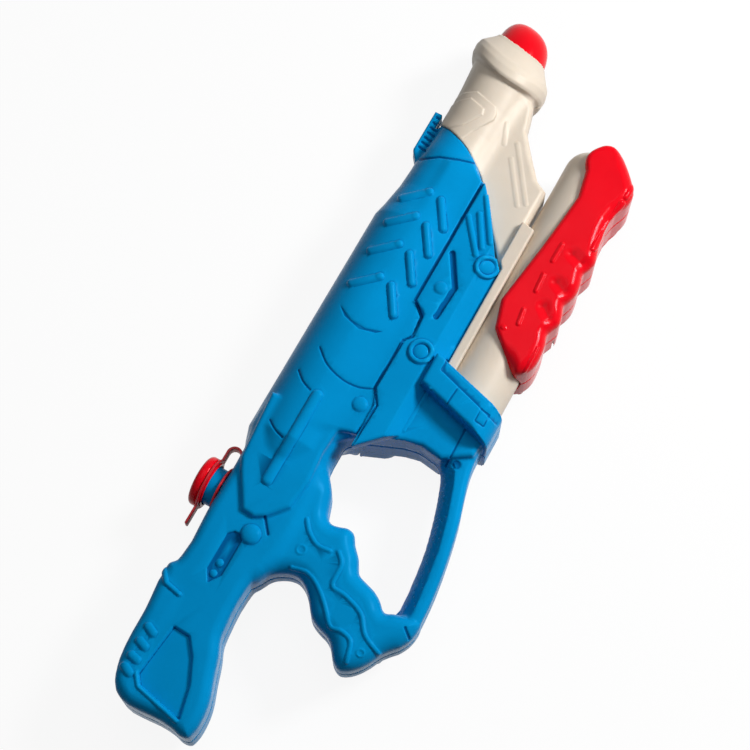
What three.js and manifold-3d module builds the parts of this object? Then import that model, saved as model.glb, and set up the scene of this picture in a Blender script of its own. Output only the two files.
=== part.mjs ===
// Toy pump-action water squirter, lying on its left side.
// +X runs to the muzzle, +Y to the top of the toy (stock, tank and filler cap), +Z out of its right side.
// All sizes are millimetres. The shapes are drawn about the parting plane and stood on the ground at the end.
import * as THREE from "three";
import { mergeVertices } from "three/addons/utils/BufferGeometryUtils.js";
import Module from "manifold-3d";

const wasm = await Module();
wasm.setup();

// Clearances and walls
const FIT = 0.3;
const PARTING = 0.3;
const WALL = 2.2;
const TANK_WALL = 1.6;
const EDGE = 5;

// Facets of a large round and of a small one
const ROUND = 24;
const SMALL = 10;

// Body: half widths from the parting plane
const HALF_WIDTH = 28;
const STOCK_HALF = 19;
const SHOULDER_HALF = 22;
const GRIP_HALF = 16.5;
const GUARD_HALF = 13;
const ROOT_HALF = 17;
const PANEL_HALF = 24;
const BELLY_HALF = 19.5;
const SIGHT_HALF = 6;

// Body: stations along X and heights along Y
const TANK_Y = 21;
const TANK_REAR_X = -63;
const TANK_FRONT_X = 88;
const NOSE_X = 124;
const NOSE_R = 21.5;
const STOCK_REAR_X = -234.5;
const STOCK_TOP_Y = 45.3;
const STOCK_WAIST_Y = 41.2;
const GRIP_FOOT_Y = -94;
const LOOP_FRONT_X = -29.8;
const JOINT_X = 146;
const SIGHT_X = 137;
const SIGHT_LENGTH = 29;
const SIGHT_RISE = 6.1;

// Body: ribs, bars and rings that stand out, and fields that are sunk
const RELIEF = 1.2;
const RIB_R = 2.3;
const LONG_RIB_R = 3.2;
const RING_R = 9.2;
const RING_BORE_R = 5.8;
const DOT_R = 4;
const GROOVE_R = 1.4;
const SINK = 2.4;
const BALL_BOSS_R = 6;

// Pump
const PUMP_Y = -56.8;
const CYLINDER_R = 19.2;
const CYLINDER_WALL = 2.4;
const CYLINDER_REAR_X = -6;
const CYLINDER_FRONT_X = 184.5;
const FRONT_WALL = 5;
const STROKE = 110;
const ROD_R = 4;
const ROD_FLANGE_R = 7;
const ROD_FLANGE = 1.4;
const BUSH_R = 7;
const BUSH_HEAD = 1.5;
const SLEEVE_WALL = 2.5;
const PISTON_LENGTH = 10;
const PISTON_REST_GAP = 2;
const RING_DEPTH = 2.2;
const RING_WIDTH = 3;
const COLLAR_X = 12.5;
const COLLAR_LENGTH = 20;
const COLLAR_RAKE = 0.3;
const COLLAR_WALL = 3;
const COLLAR_TOP = 27.5;
const COLLAR_ROUND = 14;
const PUMP_GRIP_WALL = 3.6;
const PUMP_GRIP_NOSE = 4;
const PUMP_GRIP_LENGTH = 155.5;
const PUMP_GRIP_TOP = 6.5;
const PUMP_GRIP_DROP = 25;
const PUMP_GRIP_EDGE = 3.4;
const PUMP_GRIP_ROUND = 12;

// Barrel, rail and nozzle
const BARREL_R = 20.5;
const BARREL_WALL = 2.2;
const SPIGOT_LENGTH = 18;
const WEB_HALF = 13;
const RAIL_HALF = 17.5;
const RAIL_DEPTH = 5.8;
const RAIL_CROWN = 1;
const RAIL_FRONT_X = 119;
const MUZZLE_X = 228.5;
const MUZZLE_R = 27.4;
const MUZZLE_RAKE = 0.22;
const MOUTH_SCALLOP = 4.5;
const NOZZLE_R = 17.4;
const NOZZLE_WALL = 2;
const NOZZLE_LENGTH = 17.5;
const JET_R = 2.6;
const JET_BORE = 0.9;
const JET_FLANGE_R = 6;
const SEAL_THICK = 1.2;

// Filler
const NECK_X = -103;
const NECK_R = 11.5;
const NECK_HEIGHT = 12.8;
const CAP_R = 15.1;
const CAP_HEIGHT = 8.2;
const CAP_TOP_WALL = 1.8;
const THREAD_ROOM = 0.6;
const STRAP = 1.5;
const STRAP_WIDTH = 7;

// Valve block, hoses and valves
const BLOCK_LENGTH = 16;
const BLOCK_HALF_HEIGHT = 12;
const PLUG_LENGTH = 10;
const VALVE_Z = 6;
const BALL_R = 3;
const SEAT_R = 1.8;
const VALVE_LIFT = 2;
const SPRING_ROOM = 3;
const NIPPLE_BORE = 1.3;
const WIRE_R = 0.35;
const HOSE_R = 3.6;
const HOSE_BORE = 2.4;
const BARB = 7;
const NIPPLE_PLUG = 4;
const NIPPLE_HEAD = 2;

// Screws
const SCREW_R = 1.4;
const SCREW_HEAD_R = 2.7;
const GRIP_SCREW_HEAD_R = 2.1;
const SCREW_HEAD = 2;
const SCREW_LENGTH = 15;
const BOSS_WALL = 1.7;

// Heights and depths that follow from the sizes above
const COVER_R = HALF_WIDTH - RELIEF;
const BORE_R = CYLINDER_R - CYLINDER_WALL;
const RAIL_TOP_Y = PUMP_Y + CYLINDER_R + FIT + RAIL_CROWN;
const BODY_FLOOR_Y = RAIL_TOP_Y + FIT;
const TANK_FLOOR_Y = TANK_Y - HALF_WIDTH;
const HOSE_Y = TANK_FLOOR_Y - HOSE_R - 7;
const BLOCK_FRONT_X = CYLINDER_REAR_X - FIT;
const VALVE_X = BLOCK_FRONT_X - BLOCK_LENGTH / 2;
const BLOCK_TOP_Y = PUMP_Y + BLOCK_HALF_HEIGHT;
const PISTON_X = CYLINDER_REAR_X + PLUG_LENGTH + PISTON_REST_GAP;
const NECK_TOP_Y = STOCK_WAIST_Y + NECK_HEIGHT;
const CAP_TOP_Y = NECK_TOP_Y + SEAL_THICK + 2 * FIT + CAP_TOP_WALL;
const CAP_BOTTOM_Y = CAP_TOP_Y - CAP_HEIGHT;
const seatDrop = (r) => Math.sqrt(BALL_R * BALL_R - r * r) + FIT / 2;
const ROD_END_X = CYLINDER_FRONT_X + FIT * 3 + ROD_FLANGE;
const COLLAR_FLOOR_Y = PUMP_Y - CYLINDER_R - FIT - COLLAR_WALL;

// A closed three.js geometry as a solid, turned right side out
function solid(geometry) {
  const loose = geometry.index ? geometry.toNonIndexed() : geometry;
  const bare = new THREE.BufferGeometry();
  bare.setAttribute("position", loose.getAttribute("position"));
  const merged = mergeVertices(bare, 1e-4);
  const index = merged.index.array;
  const triangles = [];
  for (let i = 0; i < index.length; i += 3) {
    const [a, b, c] = [index[i], index[i + 1], index[i + 2]];
    if (a !== b && b !== c && c !== a) triangles.push(a, b, c);
  }
  const build = (list) =>
    new wasm.Manifold(
      new wasm.Mesh({
        numProp: 3,
        vertProperties: merged.attributes.position.array,
        triVerts: new Uint32Array(list),
      }),
    );
  const made = build(triangles);
  return made.volume() > 0 ? made : build(triangles.reverse());
}

// An outline in the side plane, thick to both sides of the parting plane, with rounded rims
function plate(points, half, rim = 0, inset = 0, rimSteps = 2) {
  const shape = new THREE.Shape(points.map(([x, y]) => new THREE.Vector2(x, y)));
  const depth = 2 * (half - rim);
  const geometry = new THREE.ExtrudeGeometry(shape, {
    depth,
    bevelEnabled: rim > 0,
    bevelThickness: rim,
    bevelSize: rim,
    bevelOffset: -rim - inset,
    bevelSegments: rimSteps,
  });
  return solid(geometry.translate(0, 0, -depth / 2));
}

// The hollow inside such a plate, one wall in from every side
const hollow = (points, half, rim) => plate(points, half - WALL, Math.max(rim - WALL, 0.5), WALL, 1);

// A closed profile of [radius, distance along the axis] turned about an axis
function turned(profile, sides, axis, x = 0, y = 0, z = 0) {
  const loop = [...profile, profile[0]].map(([r, h]) => new THREE.Vector2(r, h));
  const geometry = new THREE.LatheGeometry(loop, sides);
  if (axis === "x") geometry.rotateZ(-Math.PI / 2);
  if (axis === "z") geometry.rotateX(Math.PI / 2);
  return solid(geometry.translate(x, y, z));
}

const rod = (r, from, to, axis, x, y, z, sides = 16) =>
  turned([[0, from], [r, from], [r, to], [0, to]], sides, axis, x, y, z);

const ring = (inner, outer, from, to, axis, x, y, z, sides = 24) =>
  turned([[inner, from], [outer, from], [outer, to], [inner, to]], sides, axis, x, y, z);

function block(x0, x1, y0, y1, z0, z1) {
  const geometry = new THREE.BoxGeometry(x1 - x0, y1 - y0, z1 - z0);
  return solid(geometry.translate((x0 + x1) / 2, (y0 + y1) / 2, (z0 + z1) / 2));
}

const join = (...list) => list.reduce((sum, next) => sum.add(next));

// Room inside a rounded trough along X: its floor's corners are round, its sides run straight up
function trough(half, floor, r) {
  const corner = (z) => rod(r, -600, 600, "x", 0, floor + r, z, 32);
  const top = block(-600, 600, floor + r, floor + 400, -half, half);
  return join(corner(r - half), corner(half - r), top).hull();
}

// The part of a solid on one side of the parting plane: +1 is the right side, -1 the left
function sideOf(whole, side) {
  const near = PARTING / 2;
  const far = 200;
  return whole.intersect(block(-600, 600, -400, 400, side > 0 ? near : -far, side > 0 ? far : -near));
}

// Rakes a muzzle shape: its top leads, and its sides fall back
function raked(shape) {
  return shape.warp((p) => {
    p[0] += MUZZLE_RAKE * (p[1] - TANK_Y) - MOUTH_SCALLOP * (p[2] / NOZZLE_R) ** 2;
  });
}

const toy = new THREE.Group();

function add(name, shape, colour, roughness, metalness = 0) {
  const mesh = shape.getMesh();
  const geometry = new THREE.BufferGeometry();
  const flat = new Float32Array(mesh.numVert * 3);
  for (let i = 0; i < mesh.numVert; i += 1) {
    const start = i * mesh.numProp;
    flat.set(mesh.vertProperties.subarray(start, start + 3), i * 3);
  }
  geometry.setAttribute("position", new THREE.BufferAttribute(flat, 3));
  geometry.setIndex(new THREE.BufferAttribute(new Uint32Array(mesh.triVerts), 1));
  geometry.computeVertexNormals();
  const material = new THREE.MeshStandardMaterial({ color: colour, roughness, metalness });
  const node = new THREE.Mesh(geometry, material);
  node.name = name;
  toy.add(node);
}

const BLUE = 0x0a86c8;
const WHITE = 0xece6da;
const RED = 0xe8081c;
const CLEAR = 0xd8e4ea;
const RUBBER = 0x2a2a2c;
const STEEL = 0xa8acb0;

// Outlines of the body in the side plane
const stockOutline = [
  [TANK_REAR_X + 15, STOCK_WAIST_Y + 2],
  [TANK_REAR_X - 17, STOCK_WAIST_Y + 0.4],
  [STOCK_REAR_X + 84.5, STOCK_WAIST_Y],
  [STOCK_REAR_X + 78.5, STOCK_TOP_Y],
  [STOCK_REAR_X + 22.5, STOCK_TOP_Y],
  [STOCK_REAR_X + 12, STOCK_TOP_Y - 4.5],
  [STOCK_REAR_X + 2.5, STOCK_TOP_Y - 11],
  [STOCK_REAR_X + 0.5, STOCK_TOP_Y - 19],
  [STOCK_REAR_X, STOCK_TOP_Y - 34],
  [STOCK_REAR_X + 0.8, STOCK_TOP_Y - 41],
  [STOCK_REAR_X - 1.5, STOCK_TOP_Y - 54],
  [STOCK_REAR_X + 3, STOCK_TOP_Y - 58.5],
  [STOCK_REAR_X + 13, STOCK_TOP_Y - 59.5],
  [STOCK_REAR_X + 25, STOCK_TOP_Y - 57],
  [STOCK_REAR_X + 56, STOCK_TOP_Y - 45],
  [STOCK_REAR_X + 84, STOCK_TOP_Y - 44],
  [NECK_X - 37, STOCK_TOP_Y - 47],
  [NECK_X, STOCK_TOP_Y - 52],
  [TANK_REAR_X - 8, STOCK_TOP_Y - 50],
  [TANK_REAR_X + 8, STOCK_TOP_Y - 43],
  [TANK_REAR_X + 15, STOCK_TOP_Y - 40],
];

const shoulderOutline = [
  [TANK_REAR_X + 20, TANK_Y + 22],
  [TANK_REAR_X - 24, TANK_Y + 19],
  [TANK_REAR_X - 47, TANK_Y + 5],
  [TANK_REAR_X - 45, TANK_Y - 8],
  [TANK_REAR_X - 35, TANK_Y - 18],
  [TANK_REAR_X - 10, TANK_Y - 20],
  [TANK_REAR_X + 20, TANK_Y - 22],
];

const gripRear = [
  [-146, 1],
  [-138, -5],
  [-131, -13],
  [-128.3, -22],
  [-131, -28],
  [-144, -38.5],
  [-148, -46],
  [-150.5, -54],
];
const gripFoot = [
  [-160.5, GRIP_FOOT_Y + 31],
  [-162, GRIP_FOOT_Y + 27],
  [-159, GRIP_FOOT_Y + 22],
  [-133, GRIP_FOOT_Y + 3],
  [-122, GRIP_FOOT_Y + 6],
  [-121.5, GRIP_FOOT_Y + 22],
  [-114, GRIP_FOOT_Y + 32],
];
const gripFront = [
  [-110.5, -51],
  [-92, -37.5],
  [-90, -31],
  [-91.3, -21],
  [-84, -16],
  [-69, -8.5],
  [-56.5, 2.5],
  [-60, 12],
];
const gripOutline = [...gripRear, ...gripFoot, ...gripFront];

const guardOutline = [
  [COLLAR_X - 18, COLLAR_FLOOR_Y + 2.4],
  [COLLAR_X - 33, COLLAR_FLOOR_Y + 3.6],
  [LOOP_FRONT_X - 15, GRIP_FOOT_Y + 13.4],
  [LOOP_FRONT_X - 50, GRIP_FOOT_Y + 4.9],
  [LOOP_FRONT_X - 85, GRIP_FOOT_Y],
  [LOOP_FRONT_X - 96, GRIP_FOOT_Y + 0.5],
  [LOOP_FRONT_X - 110, GRIP_FOOT_Y + 9],
  [LOOP_FRONT_X - 104, GRIP_FOOT_Y + 17],
  [LOOP_FRONT_X - 86, GRIP_FOOT_Y + 15],
  [LOOP_FRONT_X - 50, GRIP_FOOT_Y + 18.9],
  [LOOP_FRONT_X - 14, GRIP_FOOT_Y + 28.8],
  [LOOP_FRONT_X - 1, GRIP_FOOT_Y + 36.5],
  [LOOP_FRONT_X, GRIP_FOOT_Y + 48],
  [COLLAR_X - 16, GRIP_FOOT_Y + 48],
];

const rootOutline = [
  [COLLAR_X - 18, COLLAR_FLOOR_Y + 3],
  [COLLAR_X - 34, COLLAR_FLOOR_Y + 4.5],
  [LOOP_FRONT_X - 2, GRIP_FOOT_Y + 35],
  [LOOP_FRONT_X, GRIP_FOOT_Y + 48],
  [LOOP_FRONT_X - 2.4, GRIP_FOOT_Y + 57.5],
  [LOOP_FRONT_X - 12, GRIP_FOOT_Y + 82],
  [LOOP_FRONT_X - 22, GRIP_FOOT_Y + 94],
  [LOOP_FRONT_X - 20, TANK_FLOOR_Y + 14],
  [COLLAR_X + 20, TANK_FLOOR_Y + 14],
  [COLLAR_X + 20, BODY_FLOOR_Y],
  [COLLAR_X + 4, BODY_FLOOR_Y],
];

// The line where the blue body ends and the white barrel starts, from top to bottom
const jointLine = [
  [JOINT_X + 13, TANK_Y + 22],
  [JOINT_X + 7, TANK_Y + 10],
  [JOINT_X, TANK_Y - 4],
  [JOINT_X - 9, TANK_Y - 18],
  [JOINT_X - 18, TANK_Y - 26],
  [JOINT_X - 55, BODY_FLOOR_Y + 3],
  [JOINT_X - 60, BODY_FLOOR_Y],
];
const behindJoint = [...jointLine, [JOINT_X - 60, -300], [-600, -300], [-600, 300], [JOINT_X + 13, 300]];
const aheadOfJoint = [
  ...jointLine.map(([x, y]) => [x + FIT * 1.3, y]),
  [JOINT_X - 60 + FIT * 1.3, -300],
  [600, -300],
  [600, 300],
  [JOINT_X + 13 + FIT * 1.3, 300],
];

const panelOutline = [
  [LOOP_FRONT_X - 8, TANK_FLOOR_Y - 4],
  [LOOP_FRONT_X + 8, TANK_FLOOR_Y - 4.5],
  [LOOP_FRONT_X + 16, TANK_FLOOR_Y],
  [COLLAR_X + 6, TANK_FLOOR_Y],
  [COLLAR_X + 13, TANK_FLOOR_Y - 4],
  [COLLAR_X + 26, TANK_FLOOR_Y - 4],
  [COLLAR_X + 31, TANK_FLOOR_Y + 5],
  [JOINT_X - 15, TANK_FLOOR_Y + 4.5],
  [JOINT_X - 56, BODY_FLOOR_Y + 2.6],
  [JOINT_X - 61, BODY_FLOOR_Y],
  [LOOP_FRONT_X + 12, BODY_FLOOR_Y],
];

// The belly joins the tank cover to the flat panel under it
const bellyOutline = [
  [LOOP_FRONT_X - 21, TANK_Y],
  [LOOP_FRONT_X - 13, TANK_FLOOR_Y - 4],
  [COLLAR_X + 20, TANK_FLOOR_Y - 16],
  [JOINT_X - 42, TANK_FLOOR_Y - 12],
  [JOINT_X - 16, TANK_FLOOR_Y + 4.5],
  [JOINT_X - 6, TANK_Y - 10],
  [JOINT_X - 14, TANK_Y],
];

const collarAt = (y) => COLLAR_X + COLLAR_RAKE * (y - PUMP_Y);
const collarTop = PUMP_Y + COLLAR_TOP;
const collarOutline = [
  [collarAt(collarTop), collarTop],
  [collarAt(collarTop) - COLLAR_LENGTH, collarTop],
  [collarAt(COLLAR_FLOOR_Y) - COLLAR_LENGTH, COLLAR_FLOOR_Y],
  [collarAt(COLLAR_FLOOR_Y), COLLAR_FLOOR_Y],
];

const sightOutline = [
  [SIGHT_X - 12, TANK_Y + NOSE_R - 3],
  [SIGHT_X + SIGHT_LENGTH - 10, TANK_Y + NOSE_R - 3],
  [SIGHT_X + SIGHT_LENGTH - 10, TANK_Y + NOSE_R + 0.6],
  [SIGHT_X + SIGHT_LENGTH, TANK_Y + NOSE_R + 0.6],
  [SIGHT_X + SIGHT_LENGTH, TANK_Y + NOSE_R + SIGHT_RISE],
  [SIGHT_X, TANK_Y + NOSE_R + SIGHT_RISE],
];

// The round tank cover, with its shoulder at the rear and its taper to the nose
const coverProfile = (skin) => [
  [0, TANK_REAR_X - 19 + skin],
  [COVER_R - 8 - skin, TANK_REAR_X - 19 + skin],
  [COVER_R - 3.6 - skin, TANK_REAR_X - 9],
  [COVER_R - skin, TANK_REAR_X + skin / 2],
  [COVER_R - skin, TANK_FRONT_X - skin / 2],
  [COVER_R - 2 - skin, TANK_FRONT_X + 8 - skin / 2],
  [NOSE_R + 1.2 - skin, NOSE_X - 13],
  [NOSE_R - skin, NOSE_X],
];
const spigotR = NOSE_R - WALL - FIT;

// Relief: bars with round ends, drawn through both sides and kept to a thin layer over each form
const bar = (r, [x0, y0], [x1, y1], sides = SMALL) =>
  join(rod(r, -60, 60, "z", x0, y0, 0, sides), rod(r, -60, 60, "z", x1, y1, 0, sides)).hull();
const lowRib = (x) => bar(RIB_R, [x, TANK_Y - 16.3], [x + 14, TANK_Y - 7.4]);
const highRib = (x) => bar(RIB_R, [x, TANK_Y + 14.2], [x + 10.2, TANK_Y + 0.7]);
const coverRelief = join(
  ...[-57.6, -35.1, -14.6, 4].map((x) => lowRib(TANK_FRONT_X + x)),
  ...[-52.1, -28.7, -8.1, 9.5].map((x) => highRib(TANK_FRONT_X + x)),
  bar(LONG_RIB_R, [TANK_REAR_X - 18, TANK_Y - 2.7], [TANK_REAR_X + 28, TANK_Y - 2.7]),
).intersect(turned([...coverProfile(-RELIEF), [0, NOSE_X]], ROUND, "x", 0, TANK_Y));

const stockBar = (x) => bar(1.7, [x, STOCK_TOP_Y - 10.5], [x, STOCK_TOP_Y + 3], 8);
const stockRelief = join(...[16, 23.6, 31.2, 38.8].map((x) => stockBar(STOCK_REAR_X + x))).intersect(
  plate(stockOutline, STOCK_HALF + RELIEF, EDGE),
);

const ringBoss = (x, y) => ring(RING_BORE_R, RING_R, -60, 60, "z", x, y, 0, 16);
const panelRelief = join(
  ringBoss(COLLAR_X + 4.2, BODY_FLOOR_Y + 14.8),
  ringBoss(JOINT_X - 64.8, BODY_FLOOR_Y + 7),
  rod(DOT_R, -60, 60, "z", COLLAR_X + 44.3, BODY_FLOOR_Y + 24.2, 0, 12),
  bar(2.2, [JOINT_X - 65.8, TANK_FLOOR_Y - 11.8], [JOINT_X - 44.3, TANK_FLOOR_Y + 0.4]),
  bar(2.2, [JOINT_X - 56, TANK_FLOOR_Y - 15.6], [JOINT_X - 34.5, TANK_FLOOR_Y - 0.1]),
).intersect(plate(panelOutline, PANEL_HALF + RELIEF, 3));

const ballBoss = (side) =>
  turned(
    [[0, 0], [BALL_BOSS_R, 0], [BALL_BOSS_R * 0.8, RELIEF * 1.5], [BALL_BOSS_R * 0.4, RELIEF * 2.2], [0, RELIEF * 2.2]],
    12,
    "z",
  )
    .scale([1, 1, side])
    .translate([NECK_X - 18.6, TANK_Y - 8.8, side * (STOCK_HALF - FIT)]);

// Sunken fields: the stock's corner field, the waist's slot and the panel's bent groove
const stockField = [
  [STOCK_REAR_X + 13.4, STOCK_TOP_Y - 20.2],
  [STOCK_REAR_X + 47.8, STOCK_TOP_Y - 20.2],
  [STOCK_REAR_X + 46.5, STOCK_TOP_Y - 31],
  [STOCK_REAR_X + 33, STOCK_TOP_Y - 40.7],
  [STOCK_REAR_X + 7, STOCK_TOP_Y - 48.5],
];
const waistSlot = [
  [NECK_X - 53.3, TANK_Y - 1.3],
  [NECK_X - 46, TANK_Y + 3.2],
  [NECK_X - 23, TANK_Y + 3.2],
  [NECK_X - 23, TANK_Y - 6.1],
  [NECK_X - 46, TANK_Y - 6.1],
];
const groovePath = [
  [COLLAR_X + 26.7, TANK_FLOOR_Y - 10.8],
  [COLLAR_X + 30.6, TANK_FLOOR_Y - 12.3],
  [COLLAR_X + 48.2, TANK_FLOOR_Y - 12.3],
  [COLLAR_X + 68.7, TANK_FLOOR_Y + 0.9],
];
const bothSides = (outline, inner, grow = 0) =>
  plate(outline, 60, grow / 4, -grow, 1).subtract(block(-600, 600, -400, 400, -inner, inner));
const sunkFloors = join(
  bothSides(stockField, STOCK_HALF - SINK - WALL, WALL),
  bothSides(waistSlot, STOCK_HALF - RELIEF - WALL, WALL),
).intersect(plate(stockOutline, STOCK_HALF, EDGE));
const sunkCuts = join(
  bothSides(stockField, STOCK_HALF - SINK),
  bothSides(waistSlot, STOCK_HALF - RELIEF),
  join(...groovePath.slice(1).map((to, i) => bar(GROOVE_R, groovePath[i], to, 8))).subtract(
    block(-600, 600, -400, 400, -PANEL_HALF + RELIEF, PANEL_HALF - RELIEF),
  ),
);

const bodyOuter = join(
  plate(stockOutline, STOCK_HALF, EDGE),
  plate(shoulderOutline, SHOULDER_HALF, 3),
  plate(gripOutline, GRIP_HALF, EDGE),
  plate(guardOutline, GUARD_HALF, 4),
  plate(rootOutline, ROOT_HALF, 4),
  plate(panelOutline, PANEL_HALF, 3),
  plate(bellyOutline, BELLY_HALF, 2),
  plate(collarOutline, HALF_WIDTH, 2.5).intersect(trough(HALF_WIDTH, COLLAR_FLOOR_Y, COLLAR_ROUND)),
  plate(sightOutline, SIGHT_HALF, 1.5),
  turned([...coverProfile(0), [NOSE_R, JOINT_X + 20], [0, JOINT_X + 20]], ROUND, "x", 0, TANK_Y),
  coverRelief,
  stockRelief,
  panelRelief,
  ballBoss(1),
  ballBoss(-1),
);
const bodyHollow = join(
  hollow(stockOutline, STOCK_HALF, EDGE),
  hollow(shoulderOutline, SHOULDER_HALF, 3),
  hollow(gripOutline, GRIP_HALF, EDGE),
  hollow(guardOutline, GUARD_HALF, 4),
  hollow(rootOutline, ROOT_HALF, 4),
  hollow(panelOutline, PANEL_HALF, 3),
  hollow(bellyOutline, BELLY_HALF, 2),
  turned([...coverProfile(WALL), [0, NOSE_X]], ROUND, "x", 0, TANK_Y),
);
const sightFront = block(JOINT_X - 20, 600, TANK_Y + NOSE_R + 0.6, 300, -SIGHT_HALF - 1, SIGHT_HALF + 1);
const bodyTrimmed = bodyOuter.intersect(plate(behindJoint, 100)).add(bodyOuter.intersect(sightFront));

// Screws lie along Z with their heads on the left side
const bodyScrews = [
  [STOCK_REAR_X + 27, STOCK_TOP_Y - 30, STOCK_HALF],
  [STOCK_REAR_X + 68, STOCK_TOP_Y - 24, STOCK_HALF],
  [-140, GRIP_FOOT_Y + 28, GRIP_HALF],
  [-110, -26, GRIP_HALF],
  [LOOP_FRONT_X - 7, GRIP_FOOT_Y + 23.5, GUARD_HALF],
  [COLLAR_X + 34, BODY_FLOOR_Y + 7.5, PANEL_HALF],
  [JOINT_X - 64, BODY_FLOOR_Y + 7.5, PANEL_HALF],
];
const webScrews = [
  [JOINT_X - 28, BODY_FLOOR_Y + 8, WEB_HALF],
  [JOINT_X + 14, TANK_Y - BARREL_R - 6, WEB_HALF],
];
const headSeat = SCREW_LENGTH / 2 - 2;

function bosses(list, outer, side) {
  return list.map(([x, y, half]) => {
    const r = SCREW_R + FIT + (side > 0 ? BOSS_WALL : SCREW_HEAD_R - SCREW_R + BOSS_WALL);
    return sideOf(rod(r, -half, half, "z", x, y, 0, SMALL), side).intersect(outer);
  });
}

function screwHoles(list, side, headR = SCREW_HEAD_R) {
  return list.map(([x, y]) => {
    const tip = SCREW_LENGTH - headSeat + FIT;
    if (side > 0) return rod(SCREW_R + FIT, -1, tip, "z", x, y, 0, SMALL);
    const shank = rod(SCREW_R + FIT, -60, 1, "z", x, y, 0, SMALL);
    return shank.add(rod(headR + FIT, -60, -headSeat, "z", x, y, 0, SMALL));
  });
}

const screw = (x, y, headR = SCREW_HEAD_R) =>
  turned(
    [
      [0, -headSeat - FIT - SCREW_HEAD],
      [headR, -headSeat - FIT - SCREW_HEAD],
      [headR, -headSeat - FIT],
      [SCREW_R, -headSeat - FIT],
      [SCREW_R, SCREW_LENGTH - headSeat],
      [0, SCREW_LENGTH - headSeat],
    ],
    SMALL,
    "z",
    x,
    y,
    0,
  );

const cylinderRoom = rod(CYLINDER_R + FIT, CYLINDER_REAR_X - FIT, 400, "x", 0, PUMP_Y, 0, ROUND);
const neckRoom = rod(NECK_R + FIT, STOCK_WAIST_Y - 12, STOCK_WAIST_Y + 20, "y", NECK_X, 0, 0, 24);
const spigotRoom = rod(spigotR + FIT, NOSE_X - 1, JOINT_X + 60, "x", 0, TANK_Y, 0, ROUND);
const hoseSlot = plate(
  [
    [NOSE_X - 22, HOSE_Y - 5],
    [NOSE_X - 14, HOSE_Y - 1],
    [NOSE_X + 6, TANK_Y - 16],
    [NOSE_X + 6, TANK_Y - 6],
    [NOSE_X - 3, TANK_Y - 8],
    [NOSE_X - 22, HOSE_Y + 9],
  ],
  HOSE_R + 2 * FIT,
);
const plugRoom = rod(BORE_R, BLOCK_FRONT_X - 2, CYLINDER_REAR_X, "x", 0, PUMP_Y, 0, 24);

function bodyShell(side) {
  const skin = sideOf(bodyTrimmed, side).subtract(bodyHollow);
  const built = join(skin, sideOf(sunkFloors, side), ...bosses(bodyScrews, bodyTrimmed, side));
  const rooms = join(cylinderRoom, neckRoom, spigotRoom, plugRoom, hoseSlot);
  return built.subtract(join(rooms, sunkCuts, ...screwHoles(bodyScrews, side)));
}

add("right_body_shell", bodyShell(1), BLUE, 0.42);
add("left_body_shell", bodyShell(-1), BLUE, 0.42);
bodyScrews.forEach(([x, y], i) => add(`body_screw_${i + 1}`, screw(x, y), STEEL, 0.35, 1));

// Barrel halves: a round tube with a bulb muzzle, a web below it and the rail over the pump
const mouthR = NOZZLE_R + FIT;
const barrelOuterProfile = [
  [0, NOSE_X + 4],
  [BARREL_R, NOSE_X + 4],
  [BARREL_R, MUZZLE_X - 42],
  [BARREL_R + 1.1, MUZZLE_X - 36.5],
  [MUZZLE_R - 3.4, MUZZLE_X - 29.5],
  [MUZZLE_R - 1.1, MUZZLE_X - 23.5],
  [MUZZLE_R, MUZZLE_X - 18],
  [MUZZLE_R - 0.8, MUZZLE_X - 12.5],
  [MUZZLE_R - 3.6, MUZZLE_X - 7.5],
  [mouthR + 2, MUZZLE_X - 2.5],
  [mouthR + 0.6, MUZZLE_X],
  [0, MUZZLE_X],
];
const barrelTube = raked(turned(barrelOuterProfile, ROUND, "x", 0, TANK_Y));
const webOutline = [
  [JOINT_X + 48, TANK_Y - 12],
  [JOINT_X + 43, TANK_Y - BARREL_R - 5],
  [JOINT_X + 30, TANK_Y - BARREL_R - 8],
  [JOINT_X + 19, TANK_Y - BARREL_R - 16],
  [JOINT_X + 4, TANK_Y - BARREL_R - 28],
  [JOINT_X, RAIL_TOP_Y],
  [JOINT_X - 60, RAIL_TOP_Y],
  [JOINT_X - 50, RAIL_TOP_Y + 8],
  [JOINT_X - 10, TANK_Y - 12],
];
const railRear = collarAt(RAIL_TOP_Y) + FIT * 2;
const railOutline = [
  [railRear, RAIL_TOP_Y],
  [railRear - COLLAR_RAKE * RAIL_DEPTH, RAIL_TOP_Y - RAIL_DEPTH],
  [RAIL_FRONT_X, RAIL_TOP_Y - RAIL_DEPTH],
  [RAIL_FRONT_X + 1, RAIL_TOP_Y - 1.5],
  [RAIL_FRONT_X + 2, RAIL_TOP_Y + 3],
  [JOINT_X - 54, RAIL_TOP_Y + 3],
  [JOINT_X - 58, RAIL_TOP_Y],
];
const visibleBarrel = join(barrelTube, plate(webOutline, WEB_HALF, 3), plate(railOutline, RAIL_HALF, 1)).intersect(
  plate(aheadOfJoint, 100).add(block(-600, JOINT_X - 40, -300, RAIL_TOP_Y, -100, 100)),
);
const spigot = rod(spigotR, JOINT_X - SPIGOT_LENGTH, JOINT_X + 30, "x", 0, TANK_Y, 0, ROUND);
const barrelBore = turned(
  [
    [0, NOSE_X - 20],
    [spigotR - BARREL_WALL, NOSE_X - 20],
    [spigotR - BARREL_WALL, MUZZLE_X - 34],
    [mouthR, MUZZLE_X - 24],
    [mouthR, MUZZLE_X + 40],
    [0, MUZZLE_X + 40],
  ],
  ROUND,
  "x",
  0,
  TANK_Y,
);
const sightRoom = block(JOINT_X - 20, SIGHT_X + SIGHT_LENGTH + FIT, TANK_Y + NOSE_R - 3, 300, -7, 7);
const webHollow = hollow(webOutline, WEB_HALF, 3).intersect(
  plate(aheadOfJoint.map(([x, y]) => [x + WALL, y]), 100),
);
const barrelSolid = join(visibleBarrel, spigot);

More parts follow.
